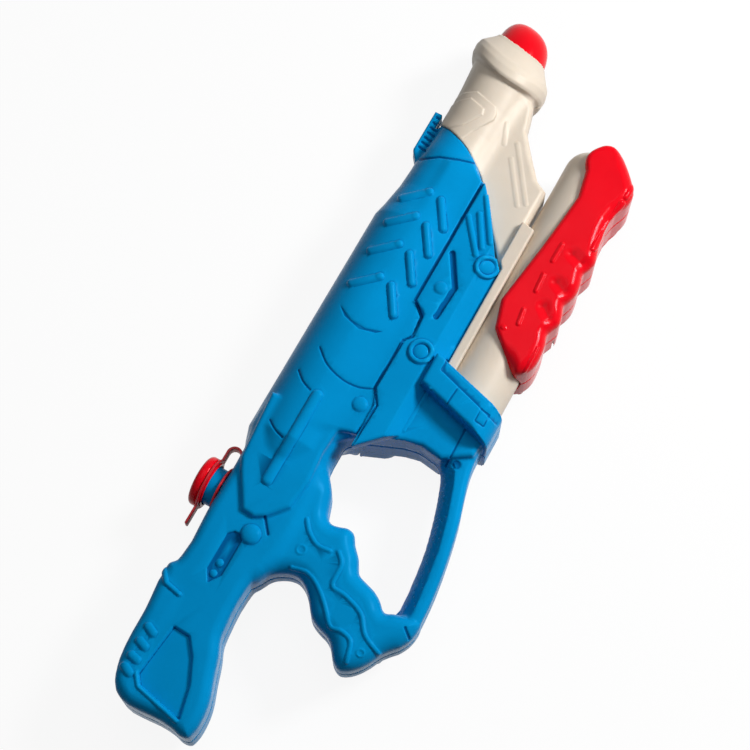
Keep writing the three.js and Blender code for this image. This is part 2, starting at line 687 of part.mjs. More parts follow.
function barrelHalf(side) {
  const outer = sideOf(barrelSolid, side);
  const built = join(outer.subtract(webHollow), ...bosses(webScrews, barrelSolid, side));
  const cuts = join(barrelBore, cylinderRoom, sightRoom.intersect(bodyOuter), ...screwHoles(webScrews, side));
  return built.subtract(cuts);
}

add("barrel_right_half", barrelHalf(1), WHITE, 0.38);
add("barrel_left_half", barrelHalf(-1), WHITE, 0.38);
webScrews.forEach(([x, y], i) => add(`barrel_screw_${i + 1}`, screw(x, y), STEEL, 0.35, 1));

// Nozzle dome with its outlet hole, the jet behind it and the seal between them
const domeBase = MUZZLE_X - 20;
const domeTip = MUZZLE_X + NOZZLE_LENGTH;
const domeArc = (r, reach, steps) =>
  Array.from({ length: steps + 1 }, (_, i) => {
    const t = (i / steps) * (Math.PI / 2);
    return [r * Math.cos(t) ** 0.7, domeTip - reach + (reach - 0) * Math.sin(t) ** 0.85];
  });
const domeReach = NOZZLE_LENGTH + 4;
const jetRoom = JET_R + FIT;
const outerArc = domeArc(NOZZLE_R, domeReach, 6).filter(([r]) => r > jetRoom + 1.5);
const innerArc = domeArc(NOZZLE_R - NOZZLE_WALL, domeReach - NOZZLE_WALL, 4)
  .map(([r, x]) => [r, x - NOZZLE_WALL])
  .filter(([r]) => r > JET_FLANGE_R + 1);
const faceX = domeTip - NOZZLE_WALL * 2 - 3;
const nozzle = raked(
  turned(
    [
      [NOZZLE_R - NOZZLE_WALL, domeBase],
      [NOZZLE_R, domeBase],
      ...outerArc,
      [jetRoom, domeTip],
      [jetRoom, faceX],
      [JET_FLANGE_R + 1, faceX],
      ...innerArc.reverse(),
    ],
    ROUND,
    "x",
    0,
    TANK_Y,
  ),
);
add("nozzle_dome", nozzle, RED, 0.22);

const sealRise = MUZZLE_RAKE * JET_FLANGE_R + FIT;
const flangeX = faceX - SEAL_THICK - sealRise - FIT;
add(
  "nozzle_seal",
  ring(JET_R + FIT, JET_FLANGE_R, faceX - SEAL_THICK - sealRise, faceX - sealRise, "x", 0, TANK_Y, 0, 16),
  RUBBER,
  0.8,
);
const jetTail = flangeX - 3 - BARB;
add(
  "jet_insert",
  turned(
    [
      [JET_BORE, jetTail],
      [HOSE_BORE - FIT, jetTail],
      [HOSE_BORE - FIT, flangeX - 3],
      [JET_FLANGE_R, flangeX - 3],
      [JET_FLANGE_R, flangeX],
      [JET_R, flangeX],
      [JET_R, domeTip - 1],
      [JET_BORE, domeTip - 1],
    ],
    16,
    "x",
    0,
    TANK_Y,
  ),
  CLEAR,
  0.4,
);

// Water tank: a bottle that fills the round cover, its rear pocket under the filler and the neck
const bottleR = COVER_R - WALL - FIT;
const bottleProfile = (skin) => [
  [0, TANK_REAR_X + 4 + skin],
  [bottleR - 8 - skin, TANK_REAR_X + 4 + skin],
  [bottleR - skin, TANK_REAR_X + 10 + skin / 2],
  [bottleR - skin, TANK_FRONT_X - 3 - skin / 2],
  [bottleR - 7 - skin, TANK_FRONT_X + 18 - skin],
  [bottleR - 12 - skin, TANK_FRONT_X + 24 - skin],
  [0, TANK_FRONT_X + 24 - skin],
];
const pocketTop = STOCK_WAIST_Y - WALL - FIT - 1;
const pocketOutline = [
  [NECK_X - NECK_R - 4, pocketTop - 26],
  [NECK_X - NECK_R - 4, pocketTop],
  [TANK_REAR_X + 16, pocketTop],
  [TANK_REAR_X + 16, pocketTop - 30],
];
const pocketHalf = STOCK_HALF - WALL - 1.4;
const bottle = join(
  turned(bottleProfile(0), ROUND, "x", 0, TANK_Y),
  plate(pocketOutline, pocketHalf, 3),
  rod(NECK_R, pocketTop - 4, NECK_TOP_Y, "y", NECK_X, 0, 0, 24),
  rod(HOSE_BORE - FIT, TANK_FLOOR_Y - BARB + 1, TANK_FLOOR_Y + 8, "y", VALVE_X, 0, -VALVE_Z, 12),
);
const bottleInside = join(
  turned(bottleProfile(TANK_WALL), ROUND, "x", 0, TANK_Y),
  plate(pocketOutline, pocketHalf - TANK_WALL, 1.4, TANK_WALL, 1),
  rod(NECK_R - TANK_WALL - 0.4, pocketTop - 6, NECK_TOP_Y + 5, "y", NECK_X, 0, 0, 24),
  rod(HOSE_BORE - FIT - 0.9, TANK_FLOOR_Y - BARB - 5, TANK_FLOOR_Y + 12, "y", VALVE_X, 0, -VALVE_Z, 12),
);
add("water_tank", bottle.subtract(bottleInside), BLUE, 0.4);

// Filler cap, its seal and the tether strap
const capBore = NECK_R + THREAD_ROOM + FIT;
const skirtR = capBore + 1.2;
const ringTop = CAP_BOTTOM_Y + 2.4;
const cap = turned(
  [
    [0, CAP_TOP_Y],
    [CAP_R - 1, CAP_TOP_Y],
    [CAP_R, CAP_TOP_Y - 1],
    [CAP_R, ringTop + FIT],
    [skirtR, ringTop + FIT],
    [skirtR, CAP_BOTTOM_Y],
    [capBore, CAP_BOTTOM_Y],
    [capBore, CAP_TOP_Y - CAP_TOP_WALL],
    [0, CAP_TOP_Y - CAP_TOP_WALL],
  ],
  ROUND,
  "y",
  NECK_X,
);
add("filler_cap", cap, RED, 0.28);
const capSeal = rod(NECK_R, NECK_TOP_Y + FIT, NECK_TOP_Y + FIT + SEAL_THICK, "y", NECK_X, 0, 0, 24);
add("cap_seal", capSeal, RUBBER, 0.8);

const neckRingY = STOCK_WAIST_Y + 0.8;
const strapFoot = NECK_X + NECK_R + 1.6;
const strapNose = NECK_X + CAP_R + 11;
const strapMid = (neckRingY + ringTop) / 2;
const strapBand = [
  [strapFoot, neckRingY],
  [strapNose - 6, neckRingY],
  [strapNose - 2, neckRingY + 1.5],
  [strapNose, strapMid],
  [strapNose - 2, ringTop - 1.5],
  [strapNose - 6, ringTop],
  [NECK_X + skirtR + 1, ringTop],
  [NECK_X + skirtR + 1, ringTop - STRAP],
  [strapNose - 6.5, ringTop - STRAP],
  [strapNose - 3.2, ringTop - STRAP - 1.2],
  [strapNose - STRAP, strapMid],
  [strapNose - 3.2, neckRingY + STRAP + 1.2],
  [strapNose - 6.5, neckRingY + STRAP],
  [strapFoot, neckRingY + STRAP],
];
const tabY = ringTop - STRAP;
const tether = join(
  ring(NECK_R + FIT, NECK_R + 2.8, neckRingY, neckRingY + STRAP, "y", NECK_X, 0, 0, 24),
  ring(skirtR + FIT, CAP_R + 0.6, ringTop - STRAP, ringTop, "y", NECK_X, 0, 0, 24),
  plate(strapBand, STRAP_WIDTH / 2),
  block(NECK_X - CAP_R - 12, NECK_X - CAP_R + 0.8, tabY, ringTop, -STRAP_WIDTH / 2, STRAP_WIDTH / 2),
);
add("cap_tether", tether, RED, 0.35);

// Pump cylinder, fixed between the collar and the rail, with the rod's guide in its front wall
const cylinder = turned(
  [
    [CYLINDER_R, CYLINDER_REAR_X],
    [CYLINDER_R, CYLINDER_FRONT_X - 14],
    [CYLINDER_R - 1.2, CYLINDER_FRONT_X - 6.5],
    [CYLINDER_R - 4.4, CYLINDER_FRONT_X - 1.5],
    [CYLINDER_R - 9, CYLINDER_FRONT_X],
    [BUSH_R + FIT, CYLINDER_FRONT_X],
    [BUSH_R + FIT, CYLINDER_FRONT_X - FRONT_WALL],
    [BORE_R - 3, CYLINDER_FRONT_X - FRONT_WALL],
    [BORE_R, CYLINDER_FRONT_X - FRONT_WALL - 5],
    [BORE_R, CYLINDER_REAR_X],
  ],
  ROUND,
  "x",
  0,
  PUMP_Y,
);
add("pump_cylinder", cylinder, WHITE, 0.36);
const bush = turned(
  [
    [ROD_R + FIT, CYLINDER_FRONT_X - FRONT_WALL - FIT - BUSH_HEAD],
    [BUSH_R + 2, CYLINDER_FRONT_X - FRONT_WALL - FIT - BUSH_HEAD],
    [BUSH_R + 2, CYLINDER_FRONT_X - FRONT_WALL - FIT],
    [BUSH_R, CYLINDER_FRONT_X - FRONT_WALL - FIT],
    [BUSH_R, CYLINDER_FRONT_X],
    [ROD_R + FIT, CYLINDER_FRONT_X],
  ],
  16,
  "x",
  0,
  PUMP_Y,
);
add("rod_bush", bush, RUBBER, 0.6);

// Piston on its rod; the rod's flange is held in the grip's nose
const ringX = PISTON_X + (PISTON_LENGTH - RING_WIDTH) / 2;
const pistonR = BORE_R - FIT;
const piston = turned(
  [
    [ROD_R + FIT, PISTON_X],
    [pistonR, PISTON_X],
    [pistonR, ringX],
    [pistonR - RING_DEPTH, ringX],
    [pistonR - RING_DEPTH, ringX + RING_WIDTH],
    [pistonR, ringX + RING_WIDTH],
    [pistonR, PISTON_X + PISTON_LENGTH],
    [ROD_R + FIT, PISTON_X + PISTON_LENGTH],
  ],
  24,
  "x",
  0,
  PUMP_Y,
);
add("piston_head", piston, CLEAR, 0.45);
const sealFrom = ringX + FIT / 2;
const sealTo = ringX + RING_WIDTH - FIT / 2;
const pistonSeal = ring(pistonR - RING_DEPTH + FIT, BORE_R - FIT / 2, sealFrom, sealTo, "x", 0, PUMP_Y);
add("piston_seal", pistonSeal, RUBBER, 0.8);
const pistonRod = turned(
  [
    [0, PISTON_X + 1],
    [ROD_R, PISTON_X + 1],
    [ROD_R, ROD_END_X - ROD_FLANGE],
    [ROD_FLANGE_R, ROD_END_X - ROD_FLANGE],
    [ROD_FLANGE_R, ROD_END_X],
    [0, ROD_END_X],
  ],
  16,
  "x",
  0,
  PUMP_Y,
);
add("piston_rod", pistonRod, STEEL, 0.3, 1);

// A sleeve on the rod ends the stroke when it meets the rod's guide
const sleeveFrom = PISTON_X + PISTON_LENGTH + FIT;
const sleeveTo = CYLINDER_FRONT_X - FRONT_WALL - BUSH_HEAD - 2 * FIT - STROKE;
add("stop_sleeve", ring(ROD_R + FIT, ROD_R + SLEEVE_WALL, sleeveFrom, sleeveTo, "x", 0, PUMP_Y, 0, 16), CLEAR, 0.45);

// Pump grip halves: finger bumps below, the cylinder's groove above and the rod's pocket in the nose
const gripLow = PUMP_Y - PUMP_GRIP_DROP;
const gripHigh = PUMP_Y + PUMP_GRIP_TOP;
const gripEnd = CYLINDER_FRONT_X + PUMP_GRIP_NOSE;
const gripRearX = gripEnd - PUMP_GRIP_LENGTH;
const pumpGripOutline = [
  [gripRearX + 19, gripHigh],
  [gripRearX, gripHigh - 22.5],
  [gripRearX + 8.5, gripLow + 0.8],
  [gripRearX + 18.5, gripLow + 0.7],
  [gripRearX + 30.5, gripLow + 3.2],
  [gripRearX + 39, gripLow],
  [gripRearX + 51, gripLow + 2.8],
  [gripRearX + 61, gripLow - 0.2],
  [gripRearX + 74, gripLow + 1.8],
  [gripRearX + 83.5, gripLow - 1.2],
  [gripRearX + 97, gripLow + 2],
  [gripRearX + 117, gripLow + 2],
  [gripRearX + 127, gripLow - 1.8],
  [gripRearX + 134.5, gripLow - 1.8],
  [gripEnd - 11.5, gripLow + 5],
  [gripEnd - 2.5, gripLow + 14.3],
  [gripEnd, gripLow + 21.8],
  [gripEnd - 5, gripHigh - 1.5],
  [gripEnd - 13, gripHigh + 2.1],
  [gripEnd - 22, gripHigh - 1.6],
];
const pumpGripHalf = CYLINDER_R + FIT + PUMP_GRIP_WALL;
const pumpGripFloor = Math.min(...pumpGripOutline.map(([, y]) => y));
const pumpGripTrough = trough(pumpGripHalf, pumpGripFloor, PUMP_GRIP_ROUND);
const pumpGrip = plate(pumpGripOutline, pumpGripHalf, PUMP_GRIP_EDGE).intersect(pumpGripTrough);
const cylinderGroove = rod(CYLINDER_R + FIT, -100, CYLINDER_FRONT_X + FIT, "x", 0, PUMP_Y, 0, ROUND);
const flangeRoom = join(
  rod(ROD_R + FIT, CYLINDER_FRONT_X - 5, ROD_END_X, "x", 0, PUMP_Y),
  rod(ROD_FLANGE_R + FIT, ROD_END_X - ROD_FLANGE - FIT, ROD_END_X + FIT, "x", 0, PUMP_Y),
);
const pumpScrewY = (gripLow + PUMP_Y - CYLINDER_R - FIT) / 2;
const pumpScrews = [
  [gripRearX + 39, pumpScrewY],
  [gripRearX + 83.5, pumpScrewY],
  [gripRearX + 130.5, pumpScrewY],
];

function pumpGripSide(side) {
  const cuts = join(cylinderGroove, flangeRoom, ...screwHoles(pumpScrews, side, GRIP_SCREW_HEAD_R));
  return sideOf(pumpGrip, side).subtract(cuts);
}

add("pump_grip_right", pumpGripSide(1), RED, 0.24);
add("pump_grip_left", pumpGripSide(-1), RED, 0.24);
pumpScrews.forEach(([x, y], i) => {
  add(`grip_screw_${i + 1}`, screw(x, y, GRIP_SCREW_HEAD_R), STEEL, 0.35, 1);
});

// Valve block: a plug in the cylinder's rear end and two upright valve wells behind it
const blockHalf = ROOT_HALF - WALL - 1.8;
const wellR = BALL_R + FIT + 0.1;
const seatY = PUMP_Y + 0.4;
const intakeBallY = BLOCK_TOP_Y - NIPPLE_PLUG - seatDrop(NIPPLE_BORE);
const outletBallY = seatY + seatDrop(SEAT_R);
const wellFloorY = intakeBallY - BALL_R - 2 * VALVE_LIFT - SPRING_ROOM;
const outletPlug = BLOCK_TOP_Y - outletBallY - BALL_R - VALVE_LIFT - SPRING_ROOM + 1.4;
const sealX = CYLINDER_REAR_X + PLUG_LENGTH - 5;
const valveBody = join(
  block(BLOCK_FRONT_X - BLOCK_LENGTH, BLOCK_FRONT_X, PUMP_Y - BLOCK_HALF_HEIGHT, BLOCK_TOP_Y, -blockHalf, blockHalf),
  turned(
    [
      [0, BLOCK_FRONT_X - 1],
      [pistonR, BLOCK_FRONT_X - 1],
      [pistonR, sealX],
      [pistonR - RING_DEPTH, sealX],
      [pistonR - RING_DEPTH, sealX + RING_WIDTH],
      [pistonR, sealX + RING_WIDTH],
      [pistonR, CYLINDER_REAR_X + PLUG_LENGTH],
      [0, CYLINDER_REAR_X + PLUG_LENGTH],
    ],
    24,
    "x",
    0,
    PUMP_Y,
  ),
);
const valveCuts = join(
  rod(wellR, wellFloorY, BLOCK_TOP_Y + 5, "y", VALVE_X, 0, -VALVE_Z),
  rod(wellR, seatY, BLOCK_TOP_Y + 5, "y", VALVE_X, 0, VALVE_Z),
  rod(SEAT_R, PUMP_Y - 3, seatY + 1, "y", VALVE_X, 0, VALVE_Z, 12),
  rod(SEAT_R, VALVE_X, 100, "x", 0, PUMP_Y - 2, -VALVE_Z, 12),
  rod(SEAT_R, VALVE_X, 100, "x", 0, PUMP_Y - 2, VALVE_Z, 12),
);
add("valve_block", valveBody.subtract(valveCuts), WHITE, 0.5);
const blockSeal = ring(
  pistonR - RING_DEPTH + FIT,
  BORE_R - FIT / 2,
  sealX + FIT / 2,
  sealX + RING_WIDTH - FIT / 2,
  "x",
  0,
  PUMP_Y,
);
add("block_seal", blockSeal, RUBBER, 0.8);

// Nipples: a plug in the well, a head on the block and a barb for the hose
function nipple(plug, z) {
  return turned(
    [
      [NIPPLE_BORE, BLOCK_TOP_Y - plug],
      [wellR - FIT, BLOCK_TOP_Y - plug],
      [wellR - FIT, BLOCK_TOP_Y + FIT],
      [wellR + 1, BLOCK_TOP_Y + FIT],
      [wellR + 1, BLOCK_TOP_Y + NIPPLE_HEAD],
      [HOSE_BORE - FIT, BLOCK_TOP_Y + NIPPLE_HEAD],
      [HOSE_BORE - FIT, BLOCK_TOP_Y + NIPPLE_HEAD + BARB],
      [NIPPLE_BORE, BLOCK_TOP_Y + NIPPLE_HEAD + BARB],
    ],
    16,
    "y",
    VALVE_X,
    0,
    z,
  );
}

function ball(y, z) {
  const geometry = new THREE.SphereGeometry(BALL_R, 12, 8);
  return solid(geometry.translate(VALVE_X, y, z));
}

// A wound spring standing along Y
function spring(bottom, top, curls, z) {
  const coilR = BALL_R - WIRE_R - 0.3;
  const steps = curls * 8;
  const sides = 5;
  const rise = top - bottom - 2 * WIRE_R;
  const points = [];
  for (let i = 0; i <= steps; i += 1) {
    const turn = (i / 8) * 2 * Math.PI;
    const y = bottom + WIRE_R + (rise * i) / steps;
    for (let j = 0; j < sides; j += 1) {
      const around = (j / sides) * 2 * Math.PI;
      const r = coilR + WIRE_R * Math.cos(around);
      points.push(VALVE_X + r * Math.cos(turn), y + WIRE_R * Math.sin(around), z + r * Math.sin(turn));
    }
  }
  const index = [];
  for (let i = 0; i < steps; i += 1) {
    for (let j = 0; j < sides; j += 1) {
      const a = i * sides + j;
      const b = i * sides + ((j + 1) % sides);
      index.push(a, b, a + sides, b, b + sides, a + sides);
    }
  }
  for (let j = 1; j < sides - 1; j += 1) {
    const last = steps * sides;
    index.push(0, j + 1, j, last, last + j, last + j + 1);
  }
  const geometry = new THREE.BufferGeometry();
  geometry.setAttribute("position", new THREE.Float32BufferAttribute(points, 3));
  geometry.setIndex(index);
  return solid(geometry);
}

add("intake_nipple", nipple(NIPPLE_PLUG, -VALVE_Z), WHITE, 0.5);
add("intake_ball", ball(intakeBallY, -VALVE_Z), STEEL, 0.2, 1);
const intakeSpringTop = intakeBallY - BALL_R - 0.15;
add("intake_spring", spring(wellFloorY + 0.15, intakeSpringTop, 5, -VALVE_Z), STEEL, 0.3, 1);
add("outlet_nipple", nipple(outletPlug, VALVE_Z), WHITE, 0.5);
add("outlet_ball", ball(outletBallY, VALVE_Z), STEEL, 0.2, 1);
const outletSpringTop = BLOCK_TOP_Y - outletPlug - 0.15;
add("outlet_spring", spring(outletBallY + BALL_R + 0.15, outletSpringTop, 3, VALVE_Z), STEEL, 0.3, 1);

// Hoses: a straight intake from the tank, and the delivery hose under the tank to the jet
const hoseFoot = BLOCK_TOP_Y + NIPPLE_HEAD + FIT;
const intakeTop = TANK_Y - Math.sqrt(bottleR ** 2 - (VALVE_Z - HOSE_R) ** 2) - 2 * FIT;
const intakeHose = ring(HOSE_BORE, HOSE_R, hoseFoot, intakeTop, "y", VALVE_X, 0, -VALVE_Z, 12);
add("intake_hose", intakeHose, CLEAR, 0.3);

function hoseSection() {
  const shape = new THREE.Shape();
  shape.absarc(0, 0, HOSE_R, 0, 2 * Math.PI);
  const hole = new THREE.Path();
  hole.absarc(0, 0, HOSE_BORE, 0, 2 * Math.PI, true);
  shape.holes.push(hole);
  return shape;
}

const hoseRoute = new THREE.CatmullRomCurve3(
  [
    [VALVE_X, hoseFoot, VALVE_Z],
    [VALVE_X, hoseFoot + BARB, VALVE_Z],
    [VALVE_X + 2, HOSE_Y - 4, VALVE_Z],
    [VALVE_X + 14, HOSE_Y + 1, VALVE_Z],
    [COLLAR_X + 20, HOSE_Y, 2],
    [TANK_FRONT_X - 10, HOSE_Y, 0],
    [TANK_FRONT_X + 18, HOSE_Y + 8, 0],
    [NOSE_X + 3, TANK_Y - 13, 0],
    [JOINT_X + 5, TANK_Y - 2, 0],
    [MUZZLE_X - 50, TANK_Y, 0],
    [flangeX - 3 - BARB - 8, TANK_Y, 0],
    [flangeX - 3 - FIT, TANK_Y, 0],
  ].map(([x, y, z]) => new THREE.Vector3(x, y, z)),
  false,
  "centripetal",
);
const hose = new THREE.ExtrudeGeometry(hoseSection(), {
  steps: 34,
  curveSegments: 4,
  bevelEnabled: false,
  extrudePath: hoseRoute,
});
add("delivery_hose", solid(hose), CLEAR, 0.3);

// Stand the toy on the ground with its middle over the origin
const box = new THREE.Box3().setFromObject(toy);
toy.position.set(-(box.min.x + box.max.x) / 2, -(box.min.y + box.max.y) / 2, -box.min.z);
const squirter = new THREE.Group();
squirter.add(toy);

export default squirter;
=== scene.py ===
import math

import bpy
import numpy as np
from bpy.props import FloatProperty, FloatVectorProperty, IntProperty, PointerProperty
from bpy.types import Operator, Panel, PropertyGroup
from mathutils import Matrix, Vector


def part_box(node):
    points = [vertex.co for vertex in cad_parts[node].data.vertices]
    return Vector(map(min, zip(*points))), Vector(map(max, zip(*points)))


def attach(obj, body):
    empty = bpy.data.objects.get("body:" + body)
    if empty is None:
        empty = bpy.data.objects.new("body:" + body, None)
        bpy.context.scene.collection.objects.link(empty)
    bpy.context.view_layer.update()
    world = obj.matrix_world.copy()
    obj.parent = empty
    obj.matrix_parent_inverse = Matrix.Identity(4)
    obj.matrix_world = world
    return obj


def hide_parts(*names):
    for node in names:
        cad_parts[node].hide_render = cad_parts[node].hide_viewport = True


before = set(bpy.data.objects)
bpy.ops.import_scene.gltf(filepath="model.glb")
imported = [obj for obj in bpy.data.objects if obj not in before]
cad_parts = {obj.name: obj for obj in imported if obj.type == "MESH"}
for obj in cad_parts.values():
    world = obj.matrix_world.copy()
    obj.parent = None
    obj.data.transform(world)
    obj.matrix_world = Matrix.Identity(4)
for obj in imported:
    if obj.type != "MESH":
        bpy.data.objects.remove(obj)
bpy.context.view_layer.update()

bl_info = {
    "name": "Water squirter",
    "version": (1, 0, 0),
    "blender": (4, 5, 0),
    "location": "View3D > Sidebar > Squirter",
    "description": "Dresses the packed water squirter: moulded skins, pump, filler, screws and studio",
    "category": "Object",
}

MM = 0.001


def middle(node):
    low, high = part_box(node)
    return (low + high) / 2


# Drawing point of the toy: the skins are drawn in millimetres about it, x to the muzzle, y to the toy's top
ORIGIN = Vector(
    (
        middle("filler_cap").x + 103 * MM,
        middle("pump_cylinder").y + 56.8 * MM,
        middle("pump_cylinder").z,
    )
)
ORIGIN_MM = np.array(ORIGIN) / MM

# Heights and radii that several pieces share
FIT = 0.3
HALF_WIDTH = 28.0
TANK_Y = 21.0
PUMP_Y = -56.8
CYLINDER_R = 19.2
CYLINDER_FRONT = 184.5
CYLINDER_REAR = -4.2
COLLAR_FLOOR = -79.3
NECK_X = -103.0
MUZZLE_X = 228.5
MUZZLE_RAKE = 0.22
MOUTH_SCALLOP = 4.5
NOZZLE_R = 17.4
SCREW_SEAT = 5.5
SHANK_HOLE_R = 1.7
WELL_WALL = 1.7

BODY_SCREWS = [
    (-207.5, 15.3),
    (-166.5, 21.3),
    (-140, -66),
    (-110, -26),
    (-36.8, -70.5),
    (46.5, -28.5),
    (82, -28.5),
]
BARREL_SCREWS = [(118, -28), (160, -5.5)]
GRIP_SCREWS = [(72, -79.05), (116.5, -79.05), (163.5, -79.05)]

# Moulding of the skins, in millimetres where it is a length
PARTING_GAP = 0.15
NEAR_OUTSIDE = 0.5
FINE_SLOPE = 0.12
RELIEF_START, RELIEF_RISE = 0.8, 1.5
LEAN_START, LEAN_RISE = 0.12, 0.4
# Strength of the painted highlight on convex edges and of the painted shade in creases and grooves
EDGE_PAINTED_LIGHT_SHADE, HOLLOW_PAINTED_SHADE = 6, 1.6
SKIN_TRIANGLES = 190000
THIN_EVENNESS = 0.0004
OUTER_LOOSENESS, INNER_LOOSENESS = 0.5, 1

# Outlines in the side view, with their points in order round the form
STOCK = [
    (-48, 43), (-72, 42.3), (-80, 41.6), (-120, 41.6), (-149, 41.2), (-152.5, 42), (-156, 45),
    (-160, 45.2), (-185, 43), (-206, 42.4), (-219, 40.2), (-230.5, 34.5), (-233.5, 29), (-234, 15),
    (-233.5, 8), (-233.5, 4), (-234.2, -3), (-235.6, -9.5), (-234.5, -13), (-231, -14.4), (-222, -15),
    (-213, -13.8), (-200, -9.3), (-188, -5.3), (-179, -1.5), (-171, -0.4), (-150, 0.2), (-143, -0.8),
    (-137, -4), (-120, -8), (-100, -8), (-71, -4), (-55, 2.5), (-48, 5),
]
GRIP = [
    (-142, -1.5), (-136, -5.2), (-131.9, -10.2), (-128.9, -16.2), (-128.4, -21.2), (-129.9, -25.2),
    (-133.9, -30.2), (-138.9, -34.2), (-144.9, -39.2), (-147.9, -45.2), (-149.9, -51.2), (-151.9, -54.2),
    (-156.9, -58.2), (-160.9, -61.7), (-162.9, -66.2), (-161.4, -70.2), (-156.9, -75.2), (-150.9, -79.2),
    (-144.9, -82.2), (-140.9, -85.2), (-134.9, -90), (-128.9, -92.8), (-120, -93.2), (-121, -78),
    (-123, -73), (-118, -67), (-115, -62), (-113, -56), (-111, -50.7), (-103, -45.7), (-97, -40.2),
    (-91.5, -36.2), (-90.5, -32.2), (-92, -27.2), (-92.5, -22.2), (-90, -19.2), (-84, -16.7),
    (-77, -14.2), (-70, -9.2), (-64, -4.2), (-57, 1.8), (-60, 12), (-100, 10), (-138, 4),
]
GUARD = [
    (-5.5, -76.6), (-18, -76.3), (-28, -77.3), (-43, -81), (-58, -85.3), (-78, -89.3), (-98, -92.2),
    (-113, -93.3), (-122, -93.3), (-131, -91.5), (-139, -85), (-133.8, -77), (-115.8, -78.6),
    (-98, -77.4), (-79.8, -75.1), (-61, -70.6), (-43.8, -65.2), (-36, -61.8), (-31.6, -57), (-29.8, -50),
    (-29.8, -46), (-3.5, -46),
]
LOOP_EDGE = [
    (-123, -79), (-115.8, -79), (-98, -77.4), (-79.8, -75.1), (-61, -70.6), (-43.8, -65.2), (-36, -61.8),
]
LOOP_FRONT = [(-36, -61.8), (-31.6, -57), (-29.8, -46), (-32.2, -36.5), (-41.8, -12), (-51.8, 0)]
ROOT = [
    (-5.5, -76.3), (-21.5, -74.8), (-31.8, -59), (-29.8, -46), (-32.2, -36.5), (-41.8, -12), (-51.8, 0),
    (-49.8, 7), (32.5, 7), (32.5, -36), (16.5, -36),
]
LOOP_ROOM = [(-54, -10.5), (-43.5, -11), (-40.5, -14), (-31.5, -36.5), (-29.8, -46), (-50, -46), (-62, -20)]
SHOULDER = [
    (-43, 43), (-85.3, 39.3), (-93.2, 35.3), (-111.8, 23.6), (-112.7, 15.8), (-109.3, 9.9), (-98.1, 0.1),
    (-80.4, -1.9), (-60.9, 0.1), (-43, -1),
]
PANEL = [
    (-51.6, -12), (-23.3, -12), (-14.5, -7.6), (17.7, -7.1), (24.5, -11), (38.2, -11), (40.7, -8.1),
    (43.1, -1.7), (132, -2.7), (90, -31), (85, -36), (0, -36), (-29.2, -34.4),
]
BELLY = [(-50.8, 21), (-42.8, -11), (32.5, -23), (104, -19), (130, -2.5), (140, 11), (132, 21)]
COLLAR = [(20.75, -29.3), (0.75, -29.3), (-14.25, -79.3), (5.75, -79.3)]
SIGHT = [(125, 39.5), (156, 39.5), (156, 43.1), (166, 43.1), (166, 48.2), (137, 48.2)]
JOINT = [(159, 43), (153, 31), (146, 17), (137, 3), (128, -5), (91, -33), (86, -36)]
WEB = [
    (203, 6), (193, -4.5), (177, -8.7), (166, -16.7), (151.2, -28.6), (147, -36.3), (86, -36.3),
    (96, -28.3), (136, 9),
]
RAIL = [(19.3, -36.3), (17.5, -42.1), (119, -42.1), (120, -37.8), (121, -33.3), (92, -33.3), (88, -36.3)]
PUMP_GRIP = [
    (52, -50.3), (43, -59.6), (35, -69), (33, -73), (35.2, -77), (41.5, -80.7), (51.5, -81.1),
    (58, -80.2), (63.5, -78.6), (67.5, -80), (72, -81.8), (79, -80.6), (84, -79), (88.5, -80.7),
    (94, -82), (101, -81.4), (107, -80), (111, -81.5), (116.5, -83), (123, -81.5), (130, -79.8),
    (150, -79.8), (154.5, -81.5), (160, -83.5), (167.5, -83.5), (172.5, -80.5), (177, -76.8),
    (182.5, -71.5), (186, -67.5), (188, -63.5), (188.5, -60), (187, -55), (183.5, -51.6), (179.5, -49.2),
    (175.5, -48.3), (171, -49.4), (166.5, -51.9), (110, -51.2),
]

# Radii at places along the toy
COVER = [
    (-82, 20), (-72, 24.4), (-63, 27.4), (88, 27.4), (96, 25.6), (111, 23.2), (124, 22.4), (138, 22.2),
    (150, 20.9), (170, 20.6),
]
BULB = [
    (100, 20.3), (165, 20.3), (185, 21.2), (199, 22.3), (203.5, 22.8), (205, 24), (206.8, 26),
    (209, 26.9), (214, 27.2), (218, 26.2), (221, 23.8), (226, 19.7), (228.5, 18.3), (260, 18.3),
]
COVER_FLATNESS = 26.6 / 27.4
PANEL_BEND = -26
NECK_ROOM_R = 11.8
NECK_ROOM_FLOOR = 29
NOZZLE_SEAT = 204
LOOP_ROOF = 16
SIGHT_HALF = 6
GUARD_THIN, GUARD_THICK = 3.5, 13
FAR, FAR_AHEAD, FAR_BEHIND = 300, 600, -600


# Distance fields

CORNERS = [(a, b, c) for a in (0, 1) for b in (0, 1) for c in (0, 1)]


class Block:
    """A block of sample points; z counts from the parting plane to either side."""

    def __init__(self, low, high, pitch):
        self.pitch = pitch
        self.axes = [np.arange(a, b + pitch, pitch, dtype=np.float32) for a, b in zip(low, high)]
        self.low = np.array([axis[0] for axis in self.axes])
        self.x = self.axes[0][:, None, None]
        self.y = self.axes[1][None, :, None]
        self.z = np.abs(self.axes[2])[None, None, :]

    def flat(self, points, steps=1):
        """Distance to an outline in the side view, for every column of the block."""
        return outline_field(drawn(points, steps), self.axes[0][:, None], self.axes[1][None, :])[:, :, None]


